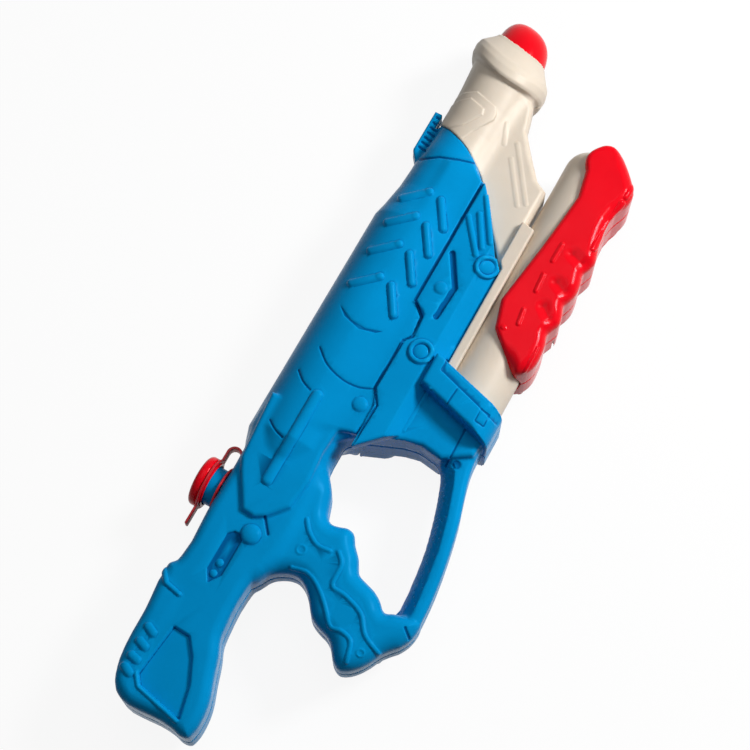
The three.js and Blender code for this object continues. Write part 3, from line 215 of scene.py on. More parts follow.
def drawn(points, steps):
    """A closed outline with a smooth curve drawn through its points."""
    if steps < 2:
        return list(points)
    p = np.array(points, float)
    ahead = np.roll(p, -1, 0) - p
    span = np.linalg.norm(ahead, axis=1)[:, None]
    before, gone = np.roll(ahead, 1, 0), np.roll(span, 1, 0)
    slope = (ahead / span * gone + before / gone * span) / (span + gone)
    t = (np.arange(steps) / steps)[None, :, None]
    a, b = p[:, None], np.roll(p, -1, 0)[:, None]
    m, n = (slope * span)[:, None], (np.roll(slope, -1, 0) * span)[:, None]
    starts = (2 * t**3 - 3 * t**2 + 1) * a + (t**3 - 2 * t**2 + t) * m
    curve = starts + (3 * t**2 - 2 * t**3) * b + (t**3 - t**2) * n
    return [tuple(q) for q in curve.reshape(-1, 2)]


def curved(points, steps=6):
    """An open line with a smooth curve drawn through its points."""
    p = np.array([points[0], *points, points[-1]], float)
    t = (np.arange(steps) / steps)[:, None]
    rows = []
    for a, b, c, d in zip(p, p[1:], p[2:], p[3:]):
        rows.append(b + t / 2 * (c - a + t * (2 * a - 5 * b + 4 * c - d + t * (3 * (b - c) + d - a))))
    return [tuple(q) for q in np.concatenate(rows)] + [points[-1]]


def line_field(points, x, y):
    """Distance to an open line of points."""
    near = np.float32(1e9)
    for (ax, ay), (bx, by) in zip(points, points[1:]):
        ex, ey = bx - ax, by - ay
        t = np.clip(((x - ax) * ex + (y - ay) * ey) / (ex * ex + ey * ey + 1e-9), 0, 1)
        near = np.minimum(near, (x - ax - t * ex) ** 2 + (y - ay - t * ey) ** 2)
    return np.sqrt(near)


def outline_field(points, x, y):
    """Distance to a closed outline, negative inside it."""
    ring = list(points) + [points[0]]
    inside = np.zeros(np.broadcast(x, y).shape, bool)
    for (ax, ay), (bx, by) in zip(ring, ring[1:]):
        if ay != by:
            inside ^= ((ay > y) != (by > y)) & (x < (bx - ax) * (y - ay) / (by - ay) + ax)
    return np.where(inside, -1, 1) * line_field(ring, x, y)


def slab(flat, z, half, edge):
    """An outline with thickness to both sides of the parting plane and round rims."""
    return rounded(flat + edge, z - half + edge, edge)


def rounded(a, b, r):
    """What lies inside both of two faces, round where they meet."""
    return np.minimum(np.maximum(a, b), 0) + np.hypot(np.maximum(a, 0), np.maximum(b, 0)) - r


def melt(a, b, fillet):
    """Two forms that run into each other over a fillet."""
    h = np.clip(0.5 + 0.5 * (b - a) / fillet, 0, 1)
    return b + (a - b) * h - fillet * h * (1 - h)


def joined(f, g, outline, half, rim, fillet, steps=1):
    """A flat form melted onto the forms so far."""
    return melt(f, slab(g.flat(outline, steps), g.z, half, rim), fillet)


def smooth(t):
    t = np.clip(t, 0, 1)
    return t * t * (3 - 2 * t)


def stations(pairs, x):
    return np.interp(x, [p[0] for p in pairs], [p[1] for p in pairs]).astype(np.float32)


def body_field(g, skin):
    """The blue body: stock, shoulder, grip, loop, tank cover, panel, collar and sight."""
    x, y, z = g.x, g.y, g.z
    ry = stations(COVER, x)
    rz = ry * COVER_FLATNESS
    k0 = np.sqrt(((y - TANK_Y) / ry) ** 2 + (z / rz) ** 2) + 1e-6
    k1 = np.sqrt(((y - TANK_Y) / ry**2) ** 2 + (z / rz**2) ** 2) + 1e-6
    cover = np.maximum(k0 * (k0 - 1) / k1, COVER[0][0] - x)
    f = joined(cover, g, BELLY, half=21.8, rim=2, fillet=7)
    f = joined(f, g, STOCK, half=19, rim=skin.stock_edge / MM, fillet=3, steps=3)
    f = joined(f, g, SHOULDER, half=22, rim=2.6, fillet=1.2)
    f = joined(f, g, GRIP, half=16.5, rim=skin.grip_edge / MM, fillet=4, steps=3)
    f = joined(f, g, GUARD, half=guard_half(g), rim=4.2, fillet=2, steps=2)
    f = joined(f, g, ROOT, half=17, rim=3, fillet=2)
    panel_half, slant = 24, 1.414
    panel = slab(g.flat(PANEL), z, panel_half, edge=1.6)
    panel = np.maximum(panel, (z - panel_half - (y - PANEL_BEND)) / slant)
    f = melt(f, panel, fillet=0.8)
    collar = slab(g.flat(COLLAR), z, HALF_WIDTH, edge=2.2)
    foot_r = 14
    foot = rounded(z - HALF_WIDTH + foot_r, COLLAR_FLOOR + foot_r - y, foot_r)
    collar = np.maximum(collar, foot)
    f = melt(f, collar, fillet=0.8)
    f = np.maximum(f, g.flat(beyond_joint(FAR_BEHIND)))
    f = joined(f, g, SIGHT, half=SIGHT_HALF, rim=1.2, fillet=0.8)
    f = np.maximum(f, -cylinder_room(g))
    return np.maximum(f, -np.maximum(np.hypot(x - NECK_X, z) - NECK_ROOM_R, NECK_ROOM_FLOOR - y))


def guard_half(g):
    """Half thickness of the hand guard, which thins out towards the loop's inner edge."""
    x, y = g.axes[0][:, None], g.axes[1][None, :]
    low_run, front_run = 8, 3.2
    low = np.clip(line_field(LOOP_EDGE, x, y) / low_run, 0, 1)
    front = smooth(line_field(LOOP_FRONT, x, y) / front_run)
    return (GUARD_THIN + (GUARD_THICK - GUARD_THIN) * np.minimum(low, front))[:, :, None]


def beyond_joint(far, gap=0):
    """All that lies on one side of the slanted joint between body and barrel."""
    last, first = JOINT[-1][0] + gap, JOINT[0][0] + gap
    return [(x + gap, y) for x, y in JOINT] + [(last, -FAR), (far, -FAR), (far, FAR), (first, FAR)]


def cylinder_room(g):
    """The room of the pump cylinder, from its rear end on."""
    return np.maximum(np.hypot(g.y - PUMP_Y, g.z) - (CYLINDER_R + FIT), CYLINDER_REAR - FIT - g.x)


def barrel_field(g):
    """The cream barrel: tube with its bulb muzzle, web and rail."""
    x, y, z = g.x, g.y, g.z
    along = x - MUZZLE_RAKE * (y - TANK_Y) + MOUTH_SCALLOP * (z / NOZZLE_R) ** 2
    r = np.hypot(y - TANK_Y, z)
    near = 0.7
    slope = (stations(BULB, along + near) - stations(BULB, along - near)) / (2 * near)
    tube = (r - stations(BULB, along)) / np.sqrt(1 + slope**2)
    tube = np.maximum(tube, along - MUZZLE_X)
    f = joined(tube, g, WEB, half=13, rim=4, fillet=6)
    ahead = g.flat(beyond_joint(FAR_AHEAD, gap=0.4))
    f = np.maximum(f, ahead)
    rail = slab(g.flat(RAIL), z, half=17.5, edge=1)
    rail_top, body_end = RAIL[0][1], 106
    rail = np.maximum(rail, np.minimum(ahead, np.maximum(y - rail_top, x - body_end)))
    f = melt(f, rail, fillet=0.8)
    f = np.maximum(f, -cylinder_room(g))
    f = np.maximum(f, -np.maximum(r - NOZZLE_R - FIT, NOZZLE_SEAT - along))
    return np.maximum(f, -slab(g.flat(SIGHT) - FIT, z, SIGHT_HALF + FIT, edge=1))


def pump_grip_field(g):
    """The red pump grip: finger bumps below and the cylinder's groove above."""
    x, y, z = g.x, g.y, g.z
    upper_rim, more_below, turn_y, turn_run = 3, 4.5, -58, 10
    rim = upper_rim + more_below * smooth((turn_y - y) / turn_run)
    f = slab(g.flat(PUMP_GRIP, 3), z, half=22.9, edge=rim)
    r = np.hypot(y - PUMP_Y, z)
    rod_hole_r, rod_hole_end = 4.3, 186.8
    disc_r, disc_x, disc_half = 7.3, 186, 1.2
    f = np.maximum(f, -np.maximum(r - CYLINDER_R - FIT, x - CYLINDER_FRONT - FIT))
    f = np.maximum(f, -np.maximum(r - rod_hole_r, x - rod_hole_end))
    return np.maximum(f, -np.maximum(r - disc_r, np.abs(x - disc_x) - disc_half))


def hollowed(f, wall):
    return np.maximum(f, -(f + wall))


def with_screw_wells(f, outer, g, places, head):
    """Screw wells of a left half: a boss round each head's hole."""
    hole = head / MM + FIT
    near = 6
    for px, py in places:
        i = slice(*np.searchsorted(g.axes[0], (px - near, px + near)))
        j = slice(*np.searchsorted(g.axes[1], (py - near, py + near)))
        r = np.hypot(g.x[i] - px, g.y[:, j] - py)
        part = np.minimum(f[i, j], np.maximum(r - hole - WELL_WALL, outer[i, j]))
        part = np.maximum(part, -np.maximum(r - hole, SCREW_SEAT - g.z))
        f[i, j] = np.maximum(part, -(r - SHANK_HOLE_R))
    return f


def skin_of(f, g):
    """Points and four-cornered faces of the surface where the field is zero."""
    inside = f < 0
    count = np.zeros([n - 1 for n in f.shape], np.int8)
    for a, b, c in CORNERS:
        count += inside[a : a + count.shape[0], b : b + count.shape[1], c : c + count.shape[2]]
    cells = np.nonzero((count > 0) & (count < 8))
    number = np.full(count.shape, -1, np.int32)
    number[cells] = np.arange(len(cells[0]))
    base = np.stack(cells, 1)
    total = np.zeros(base.shape)
    hits = np.zeros(len(base))
    for corner in CORNERS:
        for axis in range(3):
            if corner[axis]:
                continue
            other = list(corner)
            other[axis] = 1
            a = f[tuple((base + corner).T)]
            b = f[tuple((base + other).T)]
            cut = (a < 0) != (b < 0)
            share = np.where(cut, a / np.where(cut, a - b, 1), 0)
            at = np.array(corner, float) + np.outer(share, np.eye(3)[axis])
            total += at * cut[:, None]
            hits += cut
    points = (base + total / hits[:, None]) * g.pitch + g.low
    faces = []
    for axis in range(3):
        u, v = (axis + 1) % 3, (axis + 2) % 3
        first = np.moveaxis(inside, axis, 0)[:-1]
        last = np.moveaxis(inside, axis, 0)[1:]
        change = np.moveaxis(first != last, 0, axis)
        edge = np.stack(np.nonzero(change), 1)
        edge = edge[(edge[:, u] > 0) & (edge[:, v] > 0)]
        edge = edge[(edge[:, u] < f.shape[u] - 1) & (edge[:, v] < f.shape[v] - 1)]
        quad = []
        for du, dv in ((1, 1), (0, 1), (0, 0), (1, 0)):
            cell = edge.copy()
            cell[:, u] -= du
            cell[:, v] -= dv
            quad.append(number[tuple(cell.T)])
        quad = np.stack(quad, 1)
        outward = inside[tuple(edge.T)]
        faces.append(np.where(outward[:, None], quad, quad[:, ::-1]))
    return points, np.concatenate(faces)


def sampled(f, g, points):
    """Field values at free points, and their slopes."""
    q = (points - g.low) / g.pitch
    cell = np.clip(np.floor(q).astype(int), 0, np.array(f.shape) - 2)
    t = q - cell
    value = np.zeros(len(points))
    slope = np.zeros(points.shape)
    for corner in CORNERS:
        v = f[tuple((cell + corner).T)]
        w = np.where(np.array(corner), t, 1 - t)
        value += v * w.prod(1)
        for axis in range(3):
            side = 1 if corner[axis] else -1
            slope[:, axis] += v * side * np.delete(w, axis, 1).prod(1)
    return value, slope / g.pitch


def neighbour_mean(values, edges):
    """Mean of each point's neighbours along the edges."""
    total = np.zeros(values.shape)
    count = np.bincount(edges.ravel(), minlength=len(values))
    for s, e in (edges.T, edges.T[::-1]):
        for axis in range(values.shape[1]):
            total[:, axis] += np.bincount(s, values[e, axis], len(values))
    return total / np.maximum(count, 1)[:, None]


# Relief


class Relief:
    """Heights of the moulded details over the side view, in millimetres."""

    STEP = 0.3

    def __init__(self, low, high):
        self.low = np.array(low, float)
        shape = ((np.array(high) - self.low) / self.STEP).astype(int) + 1
        self.height = np.zeros(shape, np.float32)

    def window(self, points, reach):
        p = np.array(points, float)
        a = np.maximum(((p.min(0) - reach - self.low) / self.STEP).astype(int), 0)
        b = np.minimum(((p.max(0) + reach - self.low) / self.STEP).astype(int) + 2, self.height.shape)
        u = (np.arange(a[0], b[0]) * self.STEP + self.low[0])[:, None]
        v = (np.arange(a[1], b[1]) * self.STEP + self.low[1])[None, :]
        return (slice(a[0], b[0]), slice(a[1], b[1])), u, v

    def step(self, at, d, height, soft):
        """A flat top with a soft edge where the distance is nought."""
        self.height[at] += height * (1 - smooth((d + soft / 2) / soft))

    def dome(self, at, d, height):
        """A round top that ends where the distance is one."""
        self.height[at] += height * np.sqrt(np.clip(1 - d**2, 0, 1))

    def stroke(self, points, width, height, soft=0.7):
        """A ridge, or with a negative height a groove, along a line."""
        at, u, v = self.window(points, width / 2 + soft)
        self.step(at, line_field(points, u, v) - width / 2, height, soft)

    def ridge(self, points, width, height):
        """A rounded rib along a line."""
        at, u, v = self.window(points, width / 2)
        self.dome(at, line_field(points, u, v) / (width / 2), height)

    def field(self, points, height, soft=1.0):
        """A raised or sunken field."""
        at, u, v = self.window(points, soft)
        self.step(at, outline_field(points, u, v), height, soft)

    def knob(self, place, r, height):
        at, u, v = self.window([place], r + 0.5)
        self.dome(at, np.hypot(u - place[0], v - place[1]) / r, height)

    def ring(self, place, outer, inner, height, soft=0.7):
        at, u, v = self.window([place], outer + soft)
        d = np.abs(np.hypot(u - place[0], v - place[1]) - (outer + inner) / 2) - (outer - inner) / 2
        self.step(at, d, height, soft)

    def drop(self):
        """How steep the heights are, spread to one step all round."""
        a, b = np.gradient(self.height, self.STEP)
        steep = np.hypot(a, b)
        for axis in (0, 1):
            steep = np.maximum(steep, np.maximum(np.roll(steep, 1, axis), np.roll(steep, -1, axis)))
        return steep

    def hollow(self, reach=2.4):
        """How far the grooves lie under their surroundings."""
        sunk = np.minimum(self.height, 0)
        around = sunk
        n = int(reach / self.STEP)
        for axis in (0, 1):
            total = np.cumsum(around, axis)
            around = (np.roll(total, -n, axis) - np.roll(total, n, axis)) / (2 * n)
        return np.clip(around - sunk, 0, 1)

    def at(self, u, v, h=None):
        h = self.height if h is None else h
        q = (np.stack([u, v], 1) - self.low) / self.STEP
        cell = np.clip(np.floor(q).astype(int), 0, np.array(h.shape) - 2)
        t = np.clip(q - cell, 0, 1)
        i, j = cell.T
        low = h[i, j] * (1 - t[:, 0]) + h[i + 1, j] * t[:, 0]
        high = h[i, j + 1] * (1 - t[:, 0]) + h[i + 1, j + 1] * t[:, 0]
        return low * (1 - t[:, 1]) + high * t[:, 1]


# Details are drawn as seen from this point over the right side, so they sit where the eye finds them
EYE = (-331.0, -179.0, 1034.0)


def seen_from_eye(points):
    h = np.abs(points[:, 2])
    k = h / (EYE[2] - h)
    return points[:, 0] + (points[:, 0] - EYE[0]) * k, points[:, 1] + (points[:, 1] - EYE[1]) * k


def body_relief():
    r = Relief((-245, -102), (180, 62))
    r.stroke(
        [
            (-43.3, -8.7), (-15.9, -9.7), (-6.6, -3.5), (26.8, -4.2), (31.8, -8), (45, -6.6), (52.8, 1.6),
            (141.7, 1.7),
        ],
        width=1.5, height=-1.4,
    )
    for u in (38, 61, 82, 101):
        r.ridge([(u, 8.5), (u + 16, 18.5)], width=5, height=2)
    for u in (44, 68, 89, 107):
        r.ridge([(u, 40), (u + 12, 27)], width=4.8, height=1.4)
        r.knob((u + 12, 27), r=2.6, height=0.4)
    r.ridge([(-85, 23.5), (-27, 23.5)], width=6.8, height=1.8)
    r.field(
        [(28.9, 39), (23.9, 28.9), (23.3, 18.9), (26, 9), (23.1, 12.3), (20.6, 22.3), (23.9, 33.8)],
        height=-0.5, soft=1,
    )
    bends = (
        [(-0.2, 36.7), (-7.4, 27.8), (-11.3, 16), (-11.2, 4.9), (-7.4, -4.3)],
        [(-18.6, 40.5), (-23.3, 35.1), (-25.9, 28.9)],
        [(-53.1, 40.1), (-56.8, 34.7), (-58.9, 28.7)],
    )
    for bend in bends:
        r.stroke(curved(bend), width=1.2, height=-0.6)
    r.knob((-20, -1), r=4.6, height=1.6)
    for place, outer, inner in (((25.6, -16.7), 7.6, 5), ((91.5, -25.9), 7.4, 5)):
        r.ring(place, outer, inner, height=1.6, soft=1.2)
        r.knob(place, r=inner - 0.4, height=1.3)
    r.knob((66.8, -8), r=4, height=1.2)
    r.stroke([(89.8, -3.7), (70.8, -15.3), (49.3, -14)], width=3.4, height=-1.9)
    lines = (
        [(115.8, -1), (95.4, -16.6)],
        [(120.3, -6.1), (101.3, -17.5)],
        [(132.4, -4.7), (106.5, -20.5)],
    )
    for line in lines:
        r.ridge(line, width=3.6, height=1.1)
    r.knob((-117.5, 16), r=6, height=2.6)
    r.field(
        [(-153, 23.5), (-146, 28), (-123, 28), (-120, 25), (-120, 21), (-123, 18.5), (-146, 18.5)],
        height=-1.3,
    )
    for u in (-147, -140):
        r.knob((u, 23.2), r=2.3, height=1.1)
    r.stroke([(-113, 7.5), (-105, 14)], width=1.4, height=-0.9)
    for low, high in ((-192.4, -190.4), (-201.2, -199.6), (-209.6, -208.6), (-217.7, -215.7)):
        r.ridge([(low, 35.5), (high, 39.5)], width=5, height=1.3)
    r.field([(-159, 56), (-163, 45), (-168, 33), (-190, 33), (-226, 31), (-226, 56)], height=0.6, soft=8)
    r.ridge([(-166.5, 33.8), (-164.3, 43.4), (-157.4, 49.2)], width=3, height=1.3)
    r.field(
        [
            (-184.1, 26.8), (-184.7, 17.4), (-193.8, 10.4), (-207.9, 3.7), (-226.3, -0.6), (-220.3, 26.5),
            (-215.2, 30.4), (-209.2, 29.8),
        ],
        height=-4.2, soft=3.5,
    )
    r.ridge([(-228, 0), (-221.5, 27.5), (-216, 32)], width=3.2, height=0.9)
    waves = (
        [
            (-123.3, -13.7), (-121.8, -22.7), (-125.4, -31.2), (-133.5, -40.6), (-142.3, -48.7),
            (-141.7, -55.7), (-144.4, -62.8), (-155.4, -66.4),
        ],
        [(-94.6, -7.5), (-100.4, -12.4), (-104.9, -19.8), (-104.7, -27.9)],
        [
            (-102.9, -32.7), (-108.7, -37.5), (-121.3, -38.8), (-123, -47.8), (-127.8, -60.2),
            (-137.8, -68.9), (-144.4, -83.7),
        ],
    )
    for wave in waves:
        r.ridge(curved(wave), width=2.8, height=0.9)
    r.ring((-111.7, -13.4), outer=3.2, inner=1.9, height=0.4)
    r.ring((-147.3, -70.8), outer=2.6, inner=1.5, height=0.4)
    r.stroke([(-123, -85.7), (-129, -92.6)], width=1.5, height=-0.7)
    r.field(
        [(21, -32), (12, -60), (5, -80), (12, -80), (16, -74), (20, -60), (26, -40), (29, -32)],
        height=-0.9, soft=0.8,
    )
    r.stroke([(4, -45), (16, -46)], width=1, height=-0.5)
    r.stroke([(3, -64), (11, -64), (10, -70), (2, -70), (3, -64)], width=0.9, height=-0.5)
    r.ridge([(-22, -31), (8, -32)], width=2, height=0.6)
    r.stroke([(-30, -62), (-5, -61.5)], width=1.2, height=-0.6)
    r.knob((-26, -67), r=3, height=-0.9)
    r.stroke([(135.4, 42.3), (142.1, 33.4), (146.3, 22.3), (149.7, 9.2)], width=1.4, height=-0.8)
    for u in (142.3, 146, 149.7, 153.5, 157.3, 161, 165.2):
        r.stroke([(u - 0.3, 42.8), (u + 0.4, 47)], width=1.5, height=-1)
    return r


def barrel_relief():
    r = Relief((0, -60), (260, 62))
    r.field(
        [
            (158, 27), (168, 23), (180, 15.5), (184, 15.5), (189, 18.5), (190, 22), (193, 33), (188, 40),
            (170, 48), (150, 44),
        ],
        height=0.75, soft=0.9,
    )
    r.field(
        [(168, 30), (180, 23), (184, 24), (187, 34), (182, 39), (172, 44), (158, 41)],
        height=0.7, soft=0.9,
    )
    lines = (
        [(182, 7.1), (169, 2.3)],
        [(162.1, -5.9), (136, -23.3)],
        [(172.8, -4.8), (139.3, -27.5)],
    )
    for line in lines:
        r.ridge(line, width=3.2, height=0.35)
    return r


def pump_grip_relief():
    r = Relief((20, -100), (210, -30))
    lines = (
        [(123.7, -67.6), (121.3, -74.1)],
        [(102.9, -67.3), (100.2, -73.1)],
        [(85.4, -67.3), (80.8, -73.1)],
    )
    for line in lines:
        r.stroke(line, width=6, height=-1.3, soft=7)
    lines = (
        [(113.7, -58.3), (126.3, -58.7)],
        [(91.7, -58.3), (103.5, -57.6)],
        [(68.2, -58.7), (78, -57.3)],
    )
    for line in lines:
        r.ridge(line, width=2.6, height=0.9)
    r.ridge([(40, -75.5), (60, -75.5)], width=2, height=0.8)
    r.ridge([(132.3, -76.2), (167.4, -78.2)], width=4, height=1.1)
    r.ridge([(172.1, -78.6), (180.6, -79.4)], width=3.4, height=0.8)
    r.knob((62.2, -52.1), r=1.8, height=0.7)
    return r


# Modelling


def idle():
    """Leaves edit mode and drops the selection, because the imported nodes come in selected."""
    if bpy.context.mode != "OBJECT":
        bpy.ops.object.mode_set(mode="OBJECT")
    bpy.ops.object.select_all(action="DESELECT")


def hold(piece):
    idle()
    piece.select_set(True)
    bpy.context.view_layer.objects.active = piece


def in_drawing(corners):
    """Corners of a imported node's box in the drawing's millimetres."""
    return [[(a - b) / MM for a, b in zip(corner, ORIGIN)] for corner in corners]


def placed(x, y, z):
    return ORIGIN + Vector((x, y, z)) * MM


def looped(name, places, fill="NOTHING"):
    """A closed loop of points as a new piece, in edit mode with everything selected."""
    idle()
    bpy.ops.mesh.primitive_circle_add(
        vertices=len(places), radius=0.01, fill_type=fill, location=(0, 0, 0)
    )
    piece = bpy.context.object
    piece.name = name
    for vert, place in zip(piece.data.vertices, places):
        vert.co = place
    bpy.ops.object.mode_set(mode="EDIT")
    bpy.ops.mesh.select_all(action="SELECT")
    return piece


def faced_out():
    """Turns all faces outwards and leaves edit mode."""
    bpy.ops.mesh.select_all(action="SELECT")
    bpy.ops.mesh.normals_make_consistent(inside=False)
    bpy.ops.object.mode_set(mode="OBJECT")


def spun(name, profile, axis, centre, steps=None):
    """A closed profile of (radius, distance along the axis) turned round an axis, as on a lathe."""
    steps = steps or bpy.context.scene.squirter_stage.rounds
    along = Vector([float(k == axis) for k in "xyz"])
    out = Vector((0, 1, 0)) if axis == "x" else Vector((1, 0, 0))
    piece = looped(name, [centre + (out * r + along * h) * MM for r, h in profile])
    bpy.ops.mesh.spin(steps=steps, angle=2 * math.pi, center=centre, axis=along)
    bpy.ops.mesh.select_all(action="SELECT")
    bpy.ops.mesh.remove_doubles(threshold=1e-6)
    bpy.ops.mesh.dissolve_degenerate(threshold=1e-7)
    faced_out()
    return piece


def drawn_out(name, points, half):
    """An outline in the side view drawn out to both sides of the parting plane."""
    piece = looped(name, [placed(x, y, -half) for x, y in points], "NGON")
    bpy.ops.mesh.extrude_region_move(TRANSFORM_OT_translate={"value": (0, 0, 2 * half * MM)})
    faced_out()
    return piece


def softened(piece, width, segments=3, angle=35):
    hold(piece)
    edge = piece.modifiers.new("edge", "BEVEL")
    edge.width = width * MM
    edge.segments = segments
    edge.limit_method = "ANGLE"
    edge.angle_limit = math.radians(angle)
    bpy.ops.object.modifier_apply(modifier="edge")


def combined(piece, other, way):
    """Adds another form to a piece, or cuts it out, and removes that form."""
    hold(piece)
    cut = piece.modifiers.new("form", "BOOLEAN")
    cut.operation = way
    cut.solver = "EXACT"
    cut.object = other
    bpy.ops.object.modifier_apply(modifier="form")
    bpy.data.objects.remove(other, do_unlink=True)


def smooth_shaded(piece, angle=40):
    hold(piece)
    bpy.ops.object.shade_smooth_by_angle(angle=math.radians(angle))


def finished(piece, body, slot, material, *nodes):
    piece.data.materials.clear()
    piece.data.materials.append(material)
    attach(piece, body)
    if nodes:
        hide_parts(*nodes)


def drawn_onto(points, f, g):
    """Points pulled onto the surface where the field is zero."""
    longest, least_steep = 0.4 * g.pitch, 0.3
    for _ in range(2):
        value, slope = sampled(f, g, points)
        step = value[:, None] * slope / np.maximum((slope**2).sum(1), least_steep)[:, None]
        points = points - np.clip(step, -longest, longest)
    return points


def read_back(items, key, width, kind=np.float64):
    values = np.empty(len(items) * width, kind)
    items.foreach_get(key, values)
    return values.reshape(-1, width)


def moulded(name, side, f, outer, g, relief, depth):
    """A moulded half grown on its distance field, with its relief raised on the outside."""
    f = np.maximum(f, PARTING_GAP - g.axes[2][None, None, :])
    points, faces = skin_of(f, g)
    points = drawn_onto(points, f, g)
    mesh = bpy.data.meshes.new(name)
    mesh.from_pydata(points, [], faces)
    piece = bpy.data.objects.new(name, mesh)
    bpy.context.scene.collection.objects.link(piece)
    hold(piece)
    outside = np.abs(sampled(outer, g, points)[0]) < NEAR_OUTSIDE * g.pitch
    steep = relief.at(*seen_from_eye(points), relief.drop()) * outside * (points[:, 2] > RELIEF_START)
    bpy.context.tool_settings.mesh_select_mode = (False, False, True)
    mesh.polygons.foreach_set("select", (steep[faces] > FINE_SLOPE).any(1))
    bpy.ops.object.mode_set(mode="EDIT")
    bpy.ops.mesh.subdivide(number_cuts=1)
    bpy.ops.object.mode_set(mode="OBJECT")

    points = drawn_onto(read_back(mesh.vertices, "co", 3), f, g)
    mesh.vertices.foreach_set("co", points.ravel())
    mesh.update()
    normal = read_back(mesh.vertex_normals, "vector", 3)
    outside = np.abs(sampled(outer, g, points)[0]) < NEAR_OUTSIDE * g.pitch
    weight = smooth((normal[:, 2] - LEAN_START) / LEAN_RISE) * outside
    weight *= smooth((points[:, 2] - RELIEF_START) / RELIEF_RISE)
    points += normal * (relief.at(*seen_from_eye(points)) * weight * depth)[:, None]
    mesh.vertices.foreach_set("co", points.ravel())
    mesh.update()
    normal = read_back(mesh.vertex_normals, "vector", 3)
    edges = read_back(mesh.edges, "vertices", 2, np.int32)
    # Painted light and shade: convex edges get a value for a painted highlight, and creases and moulded
    # grooves a value for painted shade. The value is stored per point for the finish.
    bulge = ((points - neighbour_mean(points, edges)) * normal).sum(1)[:, None] / g.pitch
    for _ in range(2):
        bulge = 0.5 * bulge + 0.5 * neighbour_mean(bulge, edges)
    shade = relief.at(*seen_from_eye(points), relief.hollow()) * weight
    painted_light_and_shade = np.clip(bulge[:, 0] * EDGE_PAINTED_LIGHT_SHADE - shade * HOLLOW_PAINTED_SHADE, -1, 1)
    mesh.attributes.new("painted_light_and_shade", "FLOAT", "POINT").data.foreach_set("value", painted_light_and_shade)
    facing = thinned(piece, outside)
    points = read_back(mesh.vertices, "co", 3)
    points[:, 2] = np.minimum(points[:, 2], HALF_WIDTH) * side
    facing[:, 2] *= side
    mesh.vertices.foreach_set("co", ((points + ORIGIN_MM) * MM).ravel())
    if side < 0:
        mesh.flip_normals()
    mesh.update()
    bpy.ops.object.shade_smooth()
    mesh.normals_split_custom_set_from_vertices(facing)
    return piece


def thinned(piece, outside):
    """Takes faces away from a skin, and gives the full skin's normals at the points that stay."""
    mesh = piece.data
    facing = mesh.attributes.new("facing", "FLOAT_VECTOR", "POINT")
    facing.data.foreach_set("vector", read_back(mesh.vertex_normals, "vector", 3).ravel())
    loose = piece.vertex_groups.new(name="loose")
    loose.add(np.flatnonzero(outside).tolist(), OUTER_LOOSENESS, "REPLACE")
    loose.add(np.flatnonzero(~outside).tolist(), INNER_LOOSENESS, "REPLACE")
    mesh.calc_loop_triangles()
    thin = piece.modifiers.new("thin", "DECIMATE")
    thin.ratio = min(1, SKIN_TRIANGLES / len(mesh.loop_triangles))
    thin.use_collapse_triangulate = True
    thin.vertex_group = loose.name
    thin.vertex_group_factor = THIN_EVENNESS
    bpy.ops.object.modifier_apply(modifier=thin.name)
    piece.vertex_groups.clear()
    facing = mesh.attributes["facing"]
    kept = read_back(facing.data, "vector", 3)
    mesh.attributes.remove(facing)
    return kept / np.linalg.norm(kept, axis=1, keepdims=True)


# Finishes


def linear(r, g, b):
    """A screen colour of 0 to 255 as scene light."""
    return tuple(((c / 255 + 0.055) / 1.055) ** 2.4 if c > 10 else c / 3294.6 for c in (r, g, b))


class Finish:
    """A new procedural finish and its node helpers."""

    def __init__(self, name):
        self.material = bpy.data.materials.new(name)
        self.material.use_nodes = True
        self.nodes = self.material.node_tree.nodes
        self.links = self.material.node_tree.links
        self.shader = self.nodes["Principled BSDF"]
        self.place = self.nodes.new("ShaderNodeTexCoord")

    def noise(self, scale, detail=2.0):
        node = self.nodes.new("ShaderNodeTexNoise")
        node.inputs["Scale"].default_value = scale
        node.inputs["Detail"].default_value = detail
        self.links.new(self.place.outputs["Object"], node.inputs["Vector"])
        return node.outputs["Fac"]

    def ranged(self, value, low, high, to_low, to_high):
        node = self.nodes.new("ShaderNodeMapRange")
        numbers = {"From Min": low, "From Max": high, "To Min": to_low, "To Max": to_high}
        for socket, number in numbers.items():
            node.inputs[socket].default_value = number
        self.links.new(value, node.inputs["Value"])
        return node.outputs["Result"]

    def attribute(self, name):
        node = self.nodes.new("ShaderNodeAttribute")
        node.attribute_name = name
        return node.outputs["Fac"]

    def blended(self, amount, first, second):
        node = self.nodes.new("ShaderNodeMix")
        node.data_type = "RGBA"
        self.links.new(amount, node.inputs["Factor"])
        for socket, colour in ((node.inputs[6], first), (node.inputs[7], second)):
            if isinstance(colour, bpy.types.NodeSocket):
                self.links.new(colour, socket)
            else:
                socket.default_value = (*colour[:3], 1)
        return node.outputs[2]

    def bumped(self, height, strength, distance):
        node = self.nodes.new("ShaderNodeBump")
        node.inputs["Strength"].default_value = strength
        node.inputs["Distance"].default_value = distance
        self.links.new(height, node.inputs["Height"])
        self.links.new(node.outputs["Normal"], self.shader.inputs["Normal"])

    def to(self, socket, value):
        self.links.new(value, self.shader.inputs[socket])

    def plain(self, socket, value):
        self.shader.inputs[socket].default_value = value


def toned(colour, factor):
    return tuple(min(c * factor, 1.0) for c in colour[:3])


